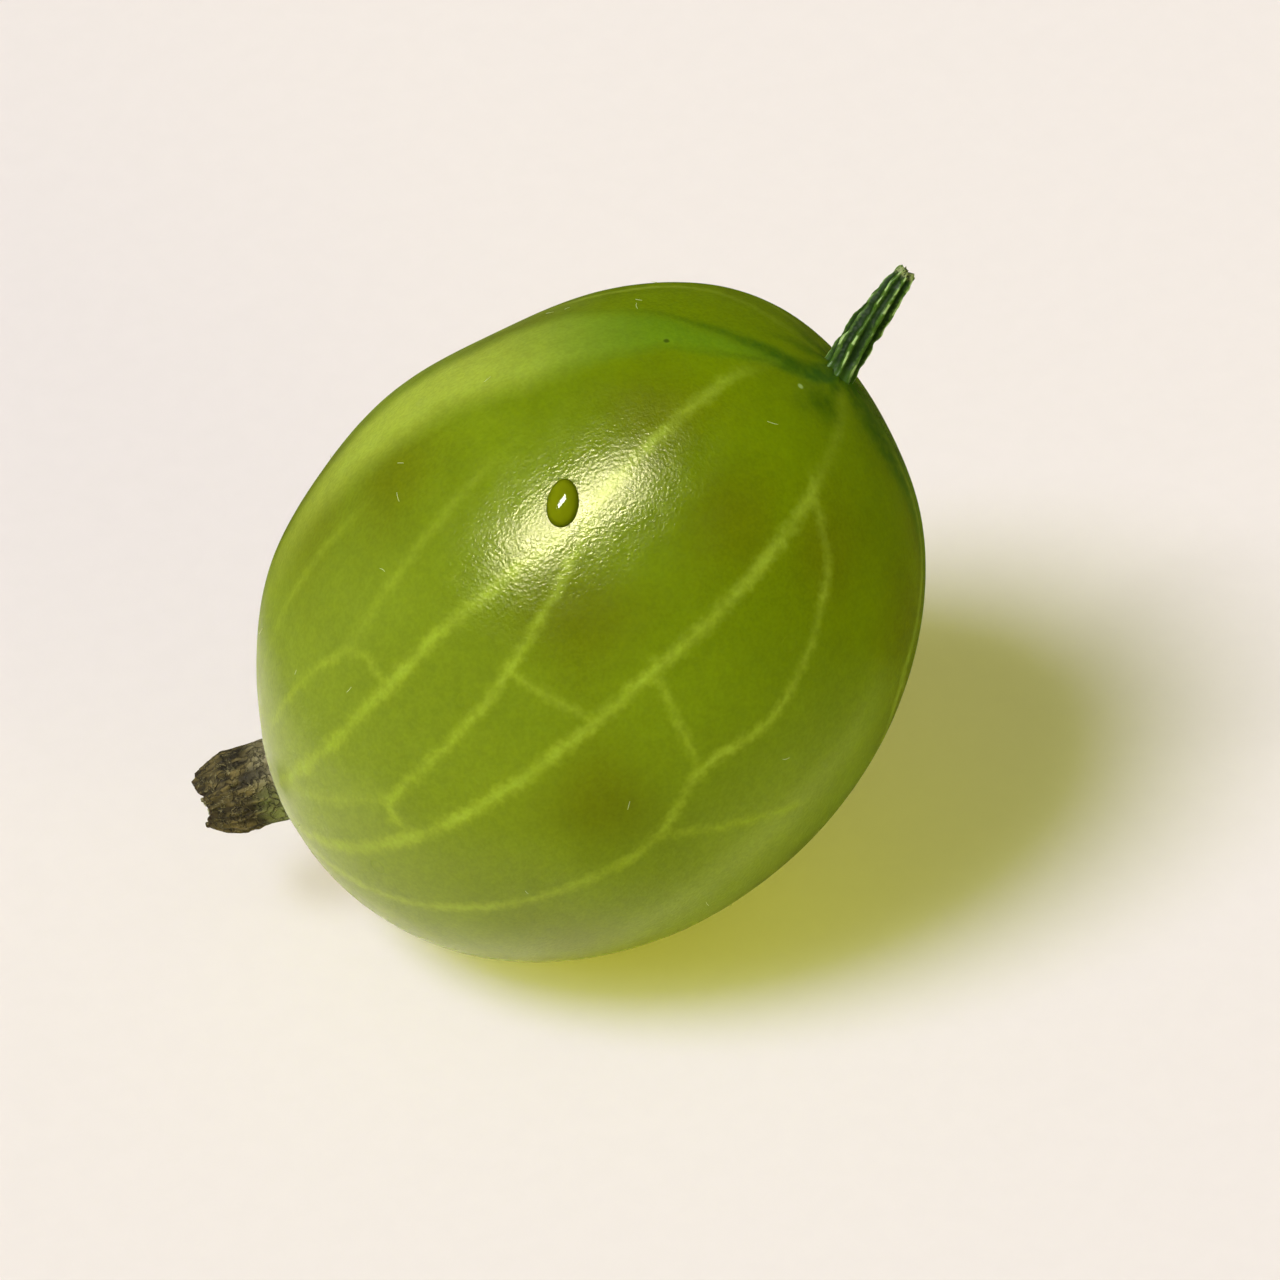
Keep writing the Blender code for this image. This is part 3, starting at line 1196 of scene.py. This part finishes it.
@dataclass(frozen=True)
class TableFinish:
    """Plain cream table with the faintest tooth, and a painted reflection that the fruit's gloss sees in it.
    """

    cream: Colour = (0.869, 0.798, 0.797)
    # painted reflection colours: a dim green glow, and the tinted cream seen near the bright spot
    painted_reflection: Colour = (0.085, 0.10, 0.015)
    painted_reflection_cream: Colour = (0.91, 0.86, 0.66)
    reflection_bright_spot: Colour = (-12.5 * MM, 2.5 * MM, 0.0)
    reflection_bright_reach: tuple[float, float] = (11.5 * MM, 21.5 * MM)

    def material(self) -> bpy.types.Material:
        """Builds the table's material, which the fruit's gloss shows as a painted reflection: tinted cream
        only near its left side, a dim green glow beyond.

        Returns:
            The material.
        """
        g = Graph("cream_table")
        tone = g.spread(g.noise(0.9 * MM, 3.0), 0.3, 0.7, (0.99, 1.0))
        colour = g.shade(self.cream, tone)
        # glossy rays see painted reflection colours, not the table's own
        in_gloss = g.node("LightPath").outputs["Is Glossy Ray"]
        shader = g.node("BsdfPrincipled", Base_Color=g.mix(in_gloss, colour, self.painted_reflection_cream))
        g.feed(shader.inputs["Roughness"], 0.9)
        g.feed(shader.inputs["Specular IOR Level"], 0.1)
        beyond = g.spread(g.away(Vector(self.reflection_bright_spot)), *self.reflection_bright_reach)
        painted_mirror = g.math("MULTIPLY", in_gloss, beyond)
        # emission of painted reflection, a glow though the table is no lamp
        dim = g.node("Emission", Color=self.painted_reflection).outputs[0]
        return g.finish(g.join(painted_mirror, shader.outputs[0], dim))


@dataclass
class Berry:
    """The fruit's skin, as one fine closed mesh."""

    shape: FruitShape
    places: SkinMap
    cells: int = 128
    undulation: float = 0.030 * MM
    peel: float = 0.004 * MM
    stalk_collar: float = 0.15 * MM
    flower_collar: float = 0.05 * MM

    def relief(self, ways: np.ndarray, points: np.ndarray) -> np.ndarray:
        """Works out the small relief of the skin.

        Args:
            ways: The direction of each point from the fruit's centre.
            points: The points of the smooth form.

        Returns:
            How far each point stands out.
        """
        longitudes, _ = self.places.places(ways)
        lift = self.undulation * grain_at(points, 4.0 * MM, 1.0)
        lift += self.peel * grain_at(points, 0.7 * MM, 4.0)
        stalk = np.degrees(np.arccos(np.clip(ways @ self.places.stalk, -1.0, 1.0)))
        crease = np.radians(longitudes) * PLEATS + 1.2 * grain_at(points, 0.9 * MM, 51.0)
        pucker = 0.62 + 0.38 * np.cos(crease)
        lift += self.stalk_collar * np.exp(-((stalk / 4.8) ** 2)) * pucker
        flower = np.degrees(np.arccos(np.clip(ways @ self.places.flower, -1.0, 1.0)))
        return lift + self.flower_collar * np.exp(-(((flower - 6.5) / 2.6) ** 2))

    def rest(self, heights: np.ndarray) -> np.ndarray:
        """Presses what would lie below the table flat, with a soft edge.

        Args:
            heights: The height of each point.

        Returns:
            The heights, none below the table.
        """
        soft = self.shape.flat_rounding
        return np.where(heights > 4 * soft, heights, soft * np.logaddexp(0.0, heights / soft))

    def build(self) -> bpy.types.Object:
        """Builds the skin, marks it and puts it in place of the plain solid.

        Returns:
            The skin.
        """
        bm = bmesh.new()
        bmesh.ops.create_cube(bm, size=2.0)
        bmesh.ops.subdivide_edges(bm, edges=bm.edges[:], cuts=self.cells - 1, use_grid_fill=True)
        mesh = bpy.data.meshes.new("berry_skin")
        bm.to_mesh(mesh)
        bm.free()
        corners = np.empty(len(mesh.vertices) * 3, np.float32)
        mesh.vertices.foreach_get("co", corners)
        ways = unit(np.tan(corners.reshape(-1, 3).astype(float) * math.pi / 4))
        smooth = self.shape.points(ways)
        points = self.shape.points(ways, self.relief(ways, smooth))
        points[:, 2] = self.rest(points[:, 2])
        mesh.vertices.foreach_set("co", points.astype(np.float32).ravel())
        SkinMarks(self.shape, self.places).paint(mesh, ways, smooth)
        mesh.update()
        finish = BerrySkinFinish().material(self.shape, self.places)
        skin = add_piece("berry_skin", mesh, finish)
        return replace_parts(skin, "berry")


def grid_mesh(name: str, rings: np.ndarray, cap_start: bool, cap_end: bool) -> bpy.types.Mesh:
    """Joins closed rings of points into one skin.

    Args:
        name: The mesh's name.
        rings: The points as (ring, point on the ring, 3).
        cap_start: Whether to close the first ring.
        cap_end: Whether to close the last ring.

    Returns:
        The mesh, facing out where the rings turn left about their direction of travel.
    """
    count, around, _ = rings.shape
    points = rings.reshape(-1, 3)
    faces = []
    for ring in range(count - 1):
        for step in range(around):
            low, high = ring * around + step, ring * around + (step + 1) % around
            faces.append((low, high, high + around, low + around))
    extra = []
    for wanted, ring in ((cap_start, 0), (cap_end, count - 1)):
        if not wanted:
            continue
        hub = len(points) + len(extra)
        extra.append(rings[ring].mean(axis=0))
        for step in range(around):
            low, high = ring * around + step, ring * around + (step + 1) % around
            faces.append((high, low, hub) if ring == 0 else (low, high, hub))
    mesh = bpy.data.meshes.new(name)
    every = np.concatenate([points, np.array(extra).reshape(-1, 3)])
    mesh.from_pydata(every.tolist(), [], faces)
    mesh.update()
    return mesh


def upright(foot: Vector, aim: Vector) -> Matrix:
    """Returns the matrix that stands a piece modelled along +Z on a foot point, along aim."""
    return Matrix.Translation(foot) @ aim.to_track_quat("Z", "Y").to_matrix().to_4x4()


def moved(points: np.ndarray, place: Matrix) -> np.ndarray:
    """Moves points by a matrix.

    Args:
        points: The points, with xyz as the last axis.
        place: The matrix.

    Returns:
        The moved points, in the same layout.
    """
    matrix = np.array(place)
    return points @ matrix[:3, :3].T + matrix[:3, 3]


@dataclass
class Stalk:
    """The stalk stub: a ribbed, slightly twisted stem with a torn end."""

    shape: FruitShape
    length: float = 3.8 * MM
    buried: float = 0.45 * MM
    aim: Bearing = Bearing(5, 45.7)
    bow: float = 0.1 * MM
    stations: Knots = (
        (0.0, 0.68), (0.1, 0.55), (0.16, 0.51), (0.3, 0.50),
        (0.5, 0.485), (0.75, 0.42), (0.93, 0.35), (1.0, 0.31),
    )
    ribs: int = 8
    rib_depth: float = 0.12
    twist: float = 40.0
    rings: int = 110
    around: int = 84

    def build(self) -> bpy.types.Object:
        """Builds the stalk and puts it in place of the plain solid.

        Returns:
            The stalk.
        """
        shares = np.linspace(0.0, 1.0, self.rings)
        turns = np.linspace(0.0, 2 * math.pi, self.around, endpoint=False)
        share, turn = np.meshgrid(shares, turns, indexing="ij")
        radius = np.interp(share, *zip(*self.stations)) * MM
        twisted = self.ribs * (turn + math.radians(self.twist) * share)
        lumps = np.stack([np.cos(turn), np.sin(turn), share * 7.0], axis=-1).reshape(-1, 3)
        knobs = grain_at(lumps * MM, 0.6 * MM, 6.0).reshape(share.shape)
        fine = grain_at(lumps * MM, 0.2 * MM, 8.0).reshape(share.shape)
        crest = (0.5 + 0.5 * np.cos(twisted + 0.7 * knobs)) ** 1.6
        rib = np.clip(crest * (1.0 + 0.4 * knobs), 0.0, 1.0)
        knobby = 0.05 + 0.10 * smooth_step(share, 0.3, 0.7)
        radius = radius * (1.0 - self.rib_depth + 1.9 * self.rib_depth * rib + knobby * knobs + 0.035 * fine)
        radius *= 1.0 - 0.25 * smooth_step(share, 0.975, 1.0)
        height = share * (self.length + self.buried) - self.buried
        height += 0.12 * MM * smooth_step(share, 0.9, 1.0) * (fine + 0.8 * knobs)
        bow = self.bow * np.sin(math.pi * np.clip(share, 0, 1))
        rings = np.stack([bow + radius * np.cos(turn), radius * np.sin(turn), height], axis=-1)
        foot = self.shape.point(self.shape.stalk_end.way())
        rings = moved(rings, upright(foot, Vector(self.aim.way())))
        mesh = grid_mesh("stalk_stem", rings, cap_start=True, cap_end=True)
        store(mesh, "rib", np.concatenate([rib.ravel(), [0.0, 0.0]]))
        store(mesh, "height", np.concatenate([share.ravel(), [0.0, 1.0]]))
        stalk = add_piece("stalk_stem", mesh, StalkFinish().material())
        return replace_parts(stalk, "stalk")


@dataclass
class DriedFlower:
    """The withered flower at the fruit's far end: a crumpled cup of sepals, and what is in it."""

    shape: FruitShape
    aim: Bearing = Bearing(153.5, -18.5)
    length: float = 2.5 * MM
    buried: float = 0.5 * MM
    wall: float = 0.1 * MM
    cup_depth: float = 1.25 * MM
    outline: Knots = (
        (-0.2, 1.40), (0.0, 1.33), (0.3, 1.30), (0.58, 1.26), (0.78, 1.13), (0.92, 0.95), (1.0, 0.82),
    )
    sepal_turns: tuple[float, ...] = (95, 329, 268, 212, 152)
    sepal_heights: tuple[float, ...] = (1.0, 1.01, 0.95, 0.93, 0.9)
    notch: float = 0.13
    sepal_reach: float = 46.0
    around: int = 200
    outer_rings: int = 120
    inner_rings: int = 50
    style_turns: tuple[float, ...] = (40.0, 215.0)
    stamens: int = 9
    withered_petals: int = 5
    thread_steps: int = 18
    seed: int = 5

    def place(self) -> Matrix:
        """Returns the matrix that puts the flower on the fruit."""
        return upright(self.shape.point(self.shape.flower_end.way()), Vector(self.aim.way()))

    def rim(self, turn: np.ndarray) -> np.ndarray:
        """Works out how far the rim reaches at each turn, as a share of the length.

        Args:
            turn: Degrees round the flower.

        Returns:
            The rim's height share: highest at a sepal's tip, lowest between two.
        """
        height = np.zeros_like(turn)
        for middle, tip in zip(self.sepal_turns, self.sepal_heights):
            away = np.abs((turn - middle + 180) % 360 - 180) / self.sepal_reach
            height = np.maximum(height, tip - self.notch * np.clip(away, 0.0, 1.0) ** 1.8)
        edge = np.stack([np.cos(np.radians(turn)), np.sin(np.radians(turn)), 0 * turn], axis=-1)
        return height + 0.03 * grain_at(edge * MM, 0.16 * MM)

    def crumple(self, turn: np.ndarray, share: np.ndarray) -> tuple[np.ndarray, np.ndarray]:
        """Works out how the papery wall folds.

        Args:
            turn: Radians round the flower.
            share: Share of the length.

        Returns:
            The wall's displacement in metres, and how much each point is on a ridge.
        """
        spot = np.stack([np.cos(turn), np.sin(turn), share * 1.6], axis=-1).reshape(-1, 3) * MM
        lengthwise = np.stack([2.6 * np.cos(turn), 2.6 * np.sin(turn), share * 1.1], axis=-1)
        lengthwise = lengthwise.reshape(-1, 3) * MM
        big = grain_at(spot, 0.62 * MM, 12.0).reshape(turn.shape)
        folds = 1.0 - 2.0 * np.abs(grain_at(lengthwise, 0.55 * MM, 14.0)).reshape(turn.shape)
        fine = grain_at(lengthwise, 0.2 * MM, 15.0).reshape(turn.shape)
        loose = 0.25 + 0.75 * smooth_step(share, 0.0, 0.5)
        return (0.10 * big + 0.12 * (folds - 0.5) + 0.035 * fine) * MM * loose, np.clip(folds, 0.0, 1.0)

    def cup(self) -> bpy.types.Object:
        """Builds the cup of sepals as one closed, thin-walled body.

        Returns:
            The cup.
        """
        turns = np.linspace(0.0, 2 * math.pi, self.around, endpoint=False)
        rim = self.rim(np.degrees(turns))
        outer = np.linspace(-self.buried / self.length, 1.0, self.outer_rings)
        inner = np.linspace(1.0, 1.0 - self.cup_depth / self.length, self.inner_rings)
        share, turn = np.meshgrid(np.concatenate([outer, inner]), turns, indexing="ij")
        reach = np.where(share > 0.45, 0.45 + (share - 0.45) / 0.55 * (rim[None, :] - 0.45), share)
        fold, ridge = self.crumple(turn, reach)
        radius = np.interp(reach, *zip(*self.outline)) * MM + fold
        inside = (np.arange(len(share)) >= self.outer_rings)[:, None]
        radius = np.where(inside, radius - self.wall * (1.0 + 1.5 * (1.0 - share)), radius)
        rings = np.stack([radius * np.cos(turn), radius * np.sin(turn), reach * self.length], axis=-1)
        mesh = grid_mesh("calyx_cup", moved(rings, self.place()), cap_start=True, cap_end=True)
        side = np.cos(turn - math.radians(100))
        foot = smooth_step(-reach, -0.36, -0.02) * smooth_step(-side, -0.75, 0.3)
        ash = smooth_step(side, 0.2, 0.8) * smooth_step(-reach, -0.3, -0.05) + 0.4 * inside
        edge = 1.0 - smooth_step(np.abs(share - 1.0), 0.0, 0.08)
        for name, values in (("ridge", ridge), ("foot", foot), ("ash", ash), ("rim", edge)):
            store(mesh, name, np.concatenate([values.ravel(), values[[0, -1], 0]]))
        cup = add_piece("calyx_cup", mesh, DriedFlowerFinish().material())
        cup.visible_glossy = False
        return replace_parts(cup, "dried_calyx")

    def thread(self, path: np.ndarray, radii: np.ndarray, around: int = 10) -> np.ndarray:
        """Sweeps a round thread along a path that rises along +Z.

        Args:
            path: The path's points, one to a row.
            radii: The radius at each of them.
            around: How many points each ring has.

        Returns:
            The rings of points.
        """
        turns = np.linspace(0.0, 2 * math.pi, around, endpoint=False)
        flat = np.stack([np.cos(turns), np.sin(turns), 0 * turns], axis=-1)
        return path[:, None, :] + radii[:, None, None] * flat[None]

    def tuft(self) -> bpy.types.Object:
        """Builds the forked style, the stamens and their shrivelled heads as one piece.

        Returns:
            The tuft.
        """
        rng = np.random.default_rng(self.seed)
        floor = self.length - self.cup_depth - 0.1 * MM
        share = np.linspace(0.0, 1.0, self.thread_steps)
        bm = bmesh.new()
        threads = [(0.16, 0.11, turn, 0.98, 0.1) for turn in self.style_turns]
        for index in range(self.stamens):
            turn = 360 / self.stamens * index + rng.uniform(-16, 16)
            threads.append((0.46, 0.055, turn, rng.uniform(0.82, 0.98), 0.0))
        for index in range(self.withered_petals):
            turn = 360 / self.withered_petals * (index + 0.5)
            threads.append((0.62, 0.2, turn, rng.uniform(0.55, 0.8), 0.0))
        for spread, thick, turn, top, lean in threads:
            angle = math.radians(turn) + 0.5 * share
            out = (spread * (0.35 + 0.65 * np.sin(share * 2.2)) + lean * share**2) * MM
            height = floor + (self.length * top - floor) * share
            path = np.stack([out * np.cos(angle), out * np.sin(angle), height], axis=-1)
            bends = [grain_at(path, 0.3 * MM, 2.0 + axis) for axis in range(3)]
            path += 0.05 * MM * np.stack(bends, axis=-1)
            head = 1.0 + (1.5 if thick < 0.06 else 0.3) * np.exp(-(((share - 0.93) / 0.08) ** 2))
            radii = thick * MM * (1.0 - 0.45 * share) * head * (1.0 + 0.2 * grain_at(path, 0.12 * MM, 9.0))
            part = grid_mesh("thread", self.thread(path, radii), cap_start=True, cap_end=True)
            bm.from_mesh(part)
            bpy.data.meshes.remove(part)
        mesh = bpy.data.meshes.new("style_tuft")
        bm.to_mesh(mesh)
        bm.free()
        mesh.transform(self.place())
        ways = np.array([vert.co[:] for vert in mesh.vertices])
        ash = np.clip(0.5 + grain_at(ways, 0.4 * MM, 4.0), 0.0, 1.0)
        marks = {"ridge": 0.5 + 0.5 * ash, "foot": 0.6 * ash, "ash": ash, "rim": 0 * ash}
        for name, values in marks.items():
            store(mesh, name, values)
        finish = DriedFlowerFinish(
            name="withered_thread",
            # dark: painted shade in the threads' folds
            dark=srgb(62, 52, 28),
            brown=srgb(134, 124, 82),
            tan=srgb(168, 158, 116),
            green=srgb(138, 152, 98),
            ash=srgb(178, 172, 140),
        )
        tuft = add_piece("style_tuft", mesh, finish.material())
        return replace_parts(tuft, "withered_style")


@dataclass
class SkinHairs:
    """A few tiny pale hairs, lying against the skin."""

    shape: FruitShape
    places: SkinMap
    count: int = 30
    lowest: float = 1.5 * MM
    length: float = 0.32 * MM
    radius: float = 0.013 * MM
    steps: int = 9
    around: int = 6
    seed: int = 23

    def build(self) -> bpy.types.Object:
        """Builds the hairs as one piece.

        Returns:
            The hairs.
        """
        rng = np.random.default_rng(self.seed)
        spots = [(float(rng.uniform(0, 360)), float(rng.uniform(0.08, 0.9))) for _ in range(self.count)]
        share = np.linspace(0.0, 1.0, self.steps)
        turns = np.linspace(0.0, 2 * math.pi, self.around, endpoint=False)
        bm = bmesh.new()
        for longitude, along in spots:
            way = self.places.way(longitude, along)
            foot = self.shape.point(way)
            if foot.z < self.lowest:
                continue
            place = upright(foot, self.shape.normal(way))
            heading, size = rng.uniform(0, 2 * math.pi), self.length * rng.uniform(0.6, 1.3)
            curl = heading + rng.uniform(-0.5, 0.5) * share
            out = size * share
            lift = 0.02 * MM + 0.06 * MM * share
            path = np.stack([out * np.cos(curl), out * np.sin(curl), lift + 0 * out], axis=-1)
            radii = self.radius * (1.0 - 0.75 * share)
            across = np.stack([-np.sin(curl), np.cos(curl), 0 * curl], axis=-1)
            up = np.array([0.0, 0.0, 1.0])
            ring = np.cos(turns)[None, :, None] * across[:, None, :] + np.sin(turns)[None, :, None] * up
            rings = path[:, None, :] + radii[:, None, None] * ring
            part = grid_mesh("hair", moved(rings, place), cap_start=True, cap_end=True)
            store(part, "height", np.concatenate([np.repeat(share, len(turns)), [0.0, 1.0]]))
            bm.from_mesh(part)
            bpy.data.meshes.remove(part)
        bmesh.ops.recalc_face_normals(bm, faces=bm.faces)
        mesh = bpy.data.meshes.new("skin_hairs")
        bm.to_mesh(mesh)
        bm.free()
        return add_piece("skin_hairs", mesh, HairFinish().material())


@dataclass
class WaterDrop:
    """One small drop of water that clings to the skin."""

    shape: FruitShape
    places: SkinMap
    spot: tuple[float, float] = (-67, 0.61)
    half_length: float = 0.78 * MM
    half_width: float = 0.52 * MM
    height: float = 0.34 * MM
    sunk: float = 0.05 * MM
    heading: float = 102.0
    rings: int = 26
    around: int = 56

    def build(self) -> bpy.types.Object:
        """Builds the drop as a low closed dome.

        Returns:
            The drop.
        """
        way = self.places.way(*self.spot)
        normal = self.shape.normal(way)
        angle = np.linspace(0.0, math.pi / 2, self.rings)[:-1]
        turns = np.linspace(0.0, 2 * math.pi, self.around, endpoint=False)
        rise, turn = np.meshgrid(angle, turns, indexing="ij")
        wobble = 1.0 + 0.03 * np.cos(2 * turn + 0.6) + 0.02 * np.cos(3 * turn)
        x = self.half_length * np.cos(rise) * np.cos(turn) * wobble
        y = self.half_width * np.cos(rise) * np.sin(turn) * wobble
        z = self.height * np.sin(rise) ** 1.1 - self.sunk
        rings = np.stack([x, y, z], axis=-1)
        turned = Matrix.Rotation(math.radians(self.heading), 4, "Z")
        place = upright(self.shape.point(way), normal) @ turned
        mesh = grid_mesh("water_drop", moved(rings, place), cap_start=True, cap_end=True)
        store(mesh, "height", np.concatenate([np.sin(rise).ravel(), [0.0, 1.0]]))
        return add_piece("water_drop", mesh, WaterFinish().material())


@dataclass
class Studio:
    """The table, the soft light and the camera."""

    view: Bearing = Bearing(-33, 43)
    distance: float = 0.5
    frame_width: float = 0.040
    look_offset: tuple[float, float] = (0.0015, -0.0005)
    sensor: float = 36.0
    table_size: float = 14.0
    sun: Bearing = Bearing(171, 54.5)
    sun_strength: float = 3.22
    sun_spread: float = 24.0
    fill: Bearing = Bearing(-82, 5)
    fill_strength: float = 1.3
    fill_spread: float = 40.0
    fill_colour: Colour = (1.0, 1.0, 0.3)
    window: Bearing = Bearing(184.8, 73.8)
    window_distance: float = 1.0
    window_size: tuple[float, float] = (0.70, 0.22)
    window_radiance: float = 51.0
    window_heading: float = 34.0
    sky: Colour = (0.98, 0.98, 0.70)
    sky_strength: float = 0.17
    backdrop: Colour = (0.871, 0.807, 0.731)

    def back(self) -> Vector:
        """Returns the unit vector from the fruit to the camera."""
        turn, rise = math.radians(self.view.azimuth), math.radians(self.view.elevation)
        return Vector((math.sin(turn) * math.cos(rise), -math.cos(turn) * math.cos(rise), math.sin(rise)))

    def camera_sides(self) -> tuple[Vector, Vector]:
        """Works out the directions across the camera's view.

        Returns:
            The unit vectors to its right and up.
        """
        turn = math.radians(self.view.azimuth)
        right = Vector((math.cos(turn), math.sin(turn), 0.0))
        return right, self.back().cross(right)

    def build_camera(self, centre: np.ndarray) -> None:
        """Sets up the camera.

        Args:
            centre: The fruit's centre.
        """
        right, up = self.camera_sides()
        target = Vector(centre) + right * self.look_offset[0] + up * self.look_offset[1]
        data = bpy.data.cameras.new("camera")
        data.sensor_width = self.sensor
        data.lens = self.sensor * self.distance / self.frame_width
        data.clip_start, data.clip_end = 0.01, 20.0
        camera = bpy.data.objects.new("camera", data)
        camera.location = target + self.back() * self.distance
        camera.rotation_mode = "QUATERNION"
        camera.rotation_quaternion = (-self.back()).to_track_quat("-Z", "Y")
        bpy.context.scene.collection.objects.link(camera)
        bpy.context.scene.camera = camera

    def add_sun(
        self, name: str, bearing: Bearing, strength: float, spread: float, colour: Colour = (1.0, 1.0, 1.0)
    ) -> None:
        """Adds a soft light that is the same everywhere and leaves no shine.

        Args:
            name: The light's name.
            bearing: Where it comes from.
            strength: How strong it is.
            spread: How wide it is, in degrees.
            colour: Its colour.
        """
        data = bpy.data.lights.new(name, "SUN")
        data.energy, data.angle, data.color = strength, math.radians(spread), colour
        light = bpy.data.objects.new(name, data)
        light.rotation_mode = "QUATERNION"
        light.rotation_quaternion = Vector(bearing.way()).to_track_quat("Z", "Y")
        light.visible_glossy = False
        bpy.context.scene.collection.objects.link(light)

    def build_lights(self, centre: np.ndarray) -> None:
        """Sets up the soft key and fill lights and the window that shines on the skin.

        Args:
            centre: The fruit's centre.
        """
        self.add_sun("key", self.sun, self.sun_strength, self.sun_spread)
        self.add_sun("fill", self.fill, self.fill_strength, self.fill_spread, self.fill_colour)
        width, height = self.window_size
        window_data = bpy.data.lights.new("window", "AREA")
        window_data.shape = "RECTANGLE"
        window_data.size, window_data.size_y = width, height
        window_data.energy = self.window_radiance * math.pi * width * height
        window = bpy.data.objects.new("window", window_data)
        toward = Vector(self.window.way())
        right, up = self.camera_sides()
        heading = math.radians(self.window_heading)
        along = right * math.cos(heading) + up * math.sin(heading)
        along = (along - toward * along.dot(toward)).normalized()
        axes = Matrix((along, toward.cross(along), toward)).transposed()
        spot = Vector(centre) + toward * self.window_distance
        window.matrix_world = Matrix.Translation(spot) @ axes.to_4x4()
        window.visible_diffuse = False
        window.visible_transmission = False
        bpy.context.scene.collection.objects.link(window)

    def build_sky(self) -> None:
        """Fills the surroundings with even, dim light, shows them as the table's cream, and shows glossy
        rays a painted reflection of dim green.
        """
        world = bpy.data.worlds.new("surroundings")
        world.use_nodes = True
        tree = world.node_tree
        tree.nodes.clear()
        path = tree.nodes.new("ShaderNodeLightPath")
        dim, painted_mirror, seen = (tree.nodes.new("ShaderNodeBackground") for _ in range(3))
        dim.inputs["Color"].default_value = (*self.sky, 1.0)
        dim.inputs["Strength"].default_value = self.sky_strength
        # painted reflection: glossy rays see the dim green glow, not the sky
        painted_mirror.inputs["Color"].default_value = (*TableFinish().painted_reflection, 1.0)
        seen.inputs["Color"].default_value = (*self.backdrop, 1.0)
        last = dim
        for kind, shown in (("Is Glossy Ray", painted_mirror), ("Is Camera Ray", seen)):
            mix = tree.nodes.new("ShaderNodeMixShader")
            tree.links.new(path.outputs[kind], mix.inputs[0])
            tree.links.new(last.outputs[0], mix.inputs[1])
            tree.links.new(shown.outputs[0], mix.inputs[2])
            last = mix
        out = tree.nodes.new("ShaderNodeOutputWorld")
        tree.links.new(last.outputs[0], out.inputs["Surface"])
        bpy.context.scene.world = world

    def build_table(self) -> None:
        """Lays the table under the fruit."""
        bm = bmesh.new()
        bmesh.ops.create_grid(bm, x_segments=8, y_segments=8, size=self.table_size / 2)
        mesh = bpy.data.meshes.new("table")
        bm.to_mesh(mesh)
        bm.free()
        mesh.materials.append(TableFinish().material())
        table = bpy.data.objects.new("table", mesh)
        table.location.z = -0.01 * MM
        bpy.context.scene.collection.objects.link(table)

    def build(self, centre: np.ndarray) -> None:
        """Builds the whole studio.

        Args:
            centre: The fruit's centre.
        """
        bpy.context.scene.view_settings.view_transform = "Standard"
        self.build_table()
        self.build_sky()
        self.build_lights(centre)
        self.build_camera(centre)


def main() -> None:
    """Builds the gooseberry's pieces and its studio."""
    logging.basicConfig(level=logging.INFO, format="%(name)s: %(message)s")
    shape = FruitShape()
    places = SkinMap(shape)
    Studio().build(shape.centre())
    Berry(shape, places).build()
    Stalk(shape).build()
    flower = DriedFlower(shape)
    flower.cup()
    flower.tuft()
    SkinHairs(shape, places).build()
    WaterDrop(shape, places).build()


if __name__ == "__main__":
    main()
